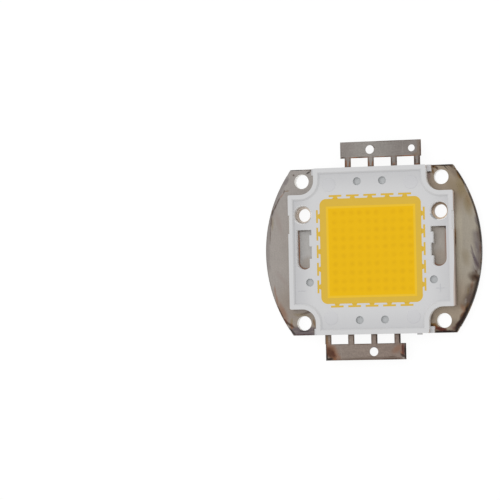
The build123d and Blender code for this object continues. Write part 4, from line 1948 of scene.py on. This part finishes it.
@dataclass
class Studio:
    """A white table in soft light, with the key light from the upper left.

    Attributes:
        fill: how bright the surroundings are to the part.
        key: how much the key light adds on a level surface.
        key_from: the way towards the key light.
        key_spread: the angle that the key light fills, in degrees.
        floor_half: half the width of the table.
        shadow: how much of the part's shadow the table shows.
        glow: how bright the table is where it shows no shadow.
        cloth: the table's own colour.
        cloth_size: the size of the slow clouds in it.
        cloth_depth: how far they change it.
        cloth_roughness: how rough the table is.
        gap: how far under the part the table lies, so that their faces don't coincide.
    """

    fill: float = 0.78
    key: float = 0.2
    key_from: tuple[float, float, float] = (-0.35, 0.3, 0.88)
    key_spread: float = 60.0
    floor_half: float = 1500.0
    shadow: float = 0.12
    glow: float = 1.04
    cloth: Colour = paint(240, 240, 240)
    cloth_size: float = 40.0
    cloth_depth: float = 0.01
    cloth_roughness: float = 0.9
    gap: float = 0.02

    def plain_ray(self, wiring: Wiring) -> Socket:
        """Tells plain rays, which see, mirror or look through, from those that only light.

        Args:
            wiring: the tree that asks.

        Returns:
            1 for a plain ray and 0 for another.
        """
        path = wiring.nodes.new("ShaderNodeLightPath").outputs
        seen = wiring.most(path["Is Camera Ray"], path["Is Glossy Ray"])
        return wiring.most(seen, path["Is Transmission Ray"])

    def surroundings(self) -> None:
        """Lights the part evenly from all sides."""
        world = bpy.data.worlds.new("soft_surroundings")
        world.use_nodes = True
        bpy.context.scene.world = world
        wiring = Wiring(world.node_tree)
        strength = wiring.math("MULTIPLY_ADD", self.plain_ray(wiring), 1 - self.fill, self.fill)
        light = wiring.add("ShaderNodeBackground", Color=(1, 1, 1, 1), Strength=strength)
        wiring.add("ShaderNodeOutputWorld", Surface=light.outputs[0])

    def key_light(self) -> None:
        """Adds the soft key light."""
        towards = Vector(self.key_from).normalized()
        lamp = bpy.data.lights.new("key_light", "SUN")
        lamp.energy = self.key * math.pi / towards.z
        lamp.angle = math.radians(self.key_spread)
        holder = bpy.data.objects.new("key_light", lamp)
        holder.rotation_euler = towards.to_track_quat("Z", "Y").to_euler()
        bpy.context.scene.collection.objects.link(holder)

    def table(self) -> None:
        """Lays the white table that the part stands on, which is clear from below."""
        shape = bmesh.new()
        bmesh.ops.create_grid(shape, x_segments=1, y_segments=1, size=self.floor_half * MM)
        mesh = bpy.data.meshes.new("table")
        shape.to_mesh(mesh)
        shape.free()
        graph = Graph("white_table")
        cloud = graph.noise(graph.place, self.cloth_size, seed=51.0)
        tone = graph.shade(self.cloth, graph.swing(cloud, 1.0, self.cloth_depth))
        graph.put(graph.shader.inputs["Base Color"], tone)
        graph.put(graph.shader.inputs["Roughness"], self.cloth_roughness)
        glow = graph.add("ShaderNodeEmission", Color=(1, 1, 1, 1), Strength=self.glow)
        seen = graph.times(self.plain_ray(graph), 1 - self.shadow)
        both = graph.add("ShaderNodeMixShader", Fac=seen)
        graph.put(both.inputs[1], graph.shader.outputs["BSDF"])
        graph.put(both.inputs[2], glow.outputs[0])
        below = graph.nodes.new("ShaderNodeNewGeometry").outputs["Backfacing"]
        sided = graph.add("ShaderNodeMixShader", Fac=below)
        graph.put(sided.inputs[1], both.outputs[0])
        graph.put(sided.inputs[2], graph.nodes.new("ShaderNodeBsdfTransparent").outputs[0])
        graph.put(graph.output.inputs["Surface"], sided.outputs[0])
        mesh.materials.append(graph.material)
        floor = bpy.data.objects.new("table", mesh)
        floor.location.z = -self.gap * MM
        bpy.context.scene.collection.objects.link(floor)

    def build(self) -> None:
        """Sets the table and the lights."""
        self.surroundings()
        self.key_light()
        self.table()
        bpy.context.scene.view_settings.view_transform = "Standard"
        LOG.info("set the table and the lights")


@dataclass
class Viewpoint:
    """The photograph's camera.

    Attributes:
        stand: the place of the camera.
        aim: the point that it looks at, just left of the part.
        upwards: which way is up in the picture.
        lens: the focal length, on a square sensor of the width below.
        sensor: the sensor's width.
        nearest: the least distance that it shows.
        farthest: the greatest distance that it shows.
    """

    stand: tuple[float, float, float] = (94.89, -21.33, 520.51)
    aim: tuple[float, float, float] = (-30.13, 0.98, 2.0)
    upwards: tuple[float, float, float] = (0.0286, 0.9989, 0.0361)
    lens: float = 158.4
    sensor: float = 36.0
    nearest: float = 10.0
    farthest: float = 10000.0

    def build(self) -> None:
        """Places the camera."""
        data = bpy.data.cameras.new("camera")
        data.lens = self.lens
        data.sensor_width = self.sensor
        data.clip_start = self.nearest * MM
        data.clip_end = self.farthest * MM
        back = (Vector(self.stand) - Vector(self.aim)).normalized()
        right = Vector(self.upwards).cross(back).normalized()
        upright = back.cross(right)
        turned = Matrix((right, upright, back)).transposed().to_4x4()
        camera = bpy.data.objects.new("camera", data)
        camera.matrix_world = Matrix.Translation(Vector(self.stand) * MM) @ turned
        bpy.context.scene.collection.objects.link(camera)
        bpy.context.scene.camera = camera
        LOG.info("placed the camera")


def main() -> None:
    """Builds the looks of the part, piece by piece."""
    logging.basicConfig(level=logging.INFO, format="%(name)s: %(message)s")
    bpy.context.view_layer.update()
    plastic = MouldedPlastic().material()
    BasePlate().build()
    Leads().build()
    dress(["frame"], plastic)
    Window().build()
    GelSurface().build()
    marks = MouldedPlastic(name="plastic_of_the_marks", colour=paint(202, 202, 204))
    MouldMarks().build(marks.material())
    signs = MouldedPlastic(name="plastic_of_the_signs", colour=paint(191, 191, 194))
    PolarityMarks().build(signs.material())
    Studio().build()
    Viewpoint().build()


if __name__ == "__main__":
    main()
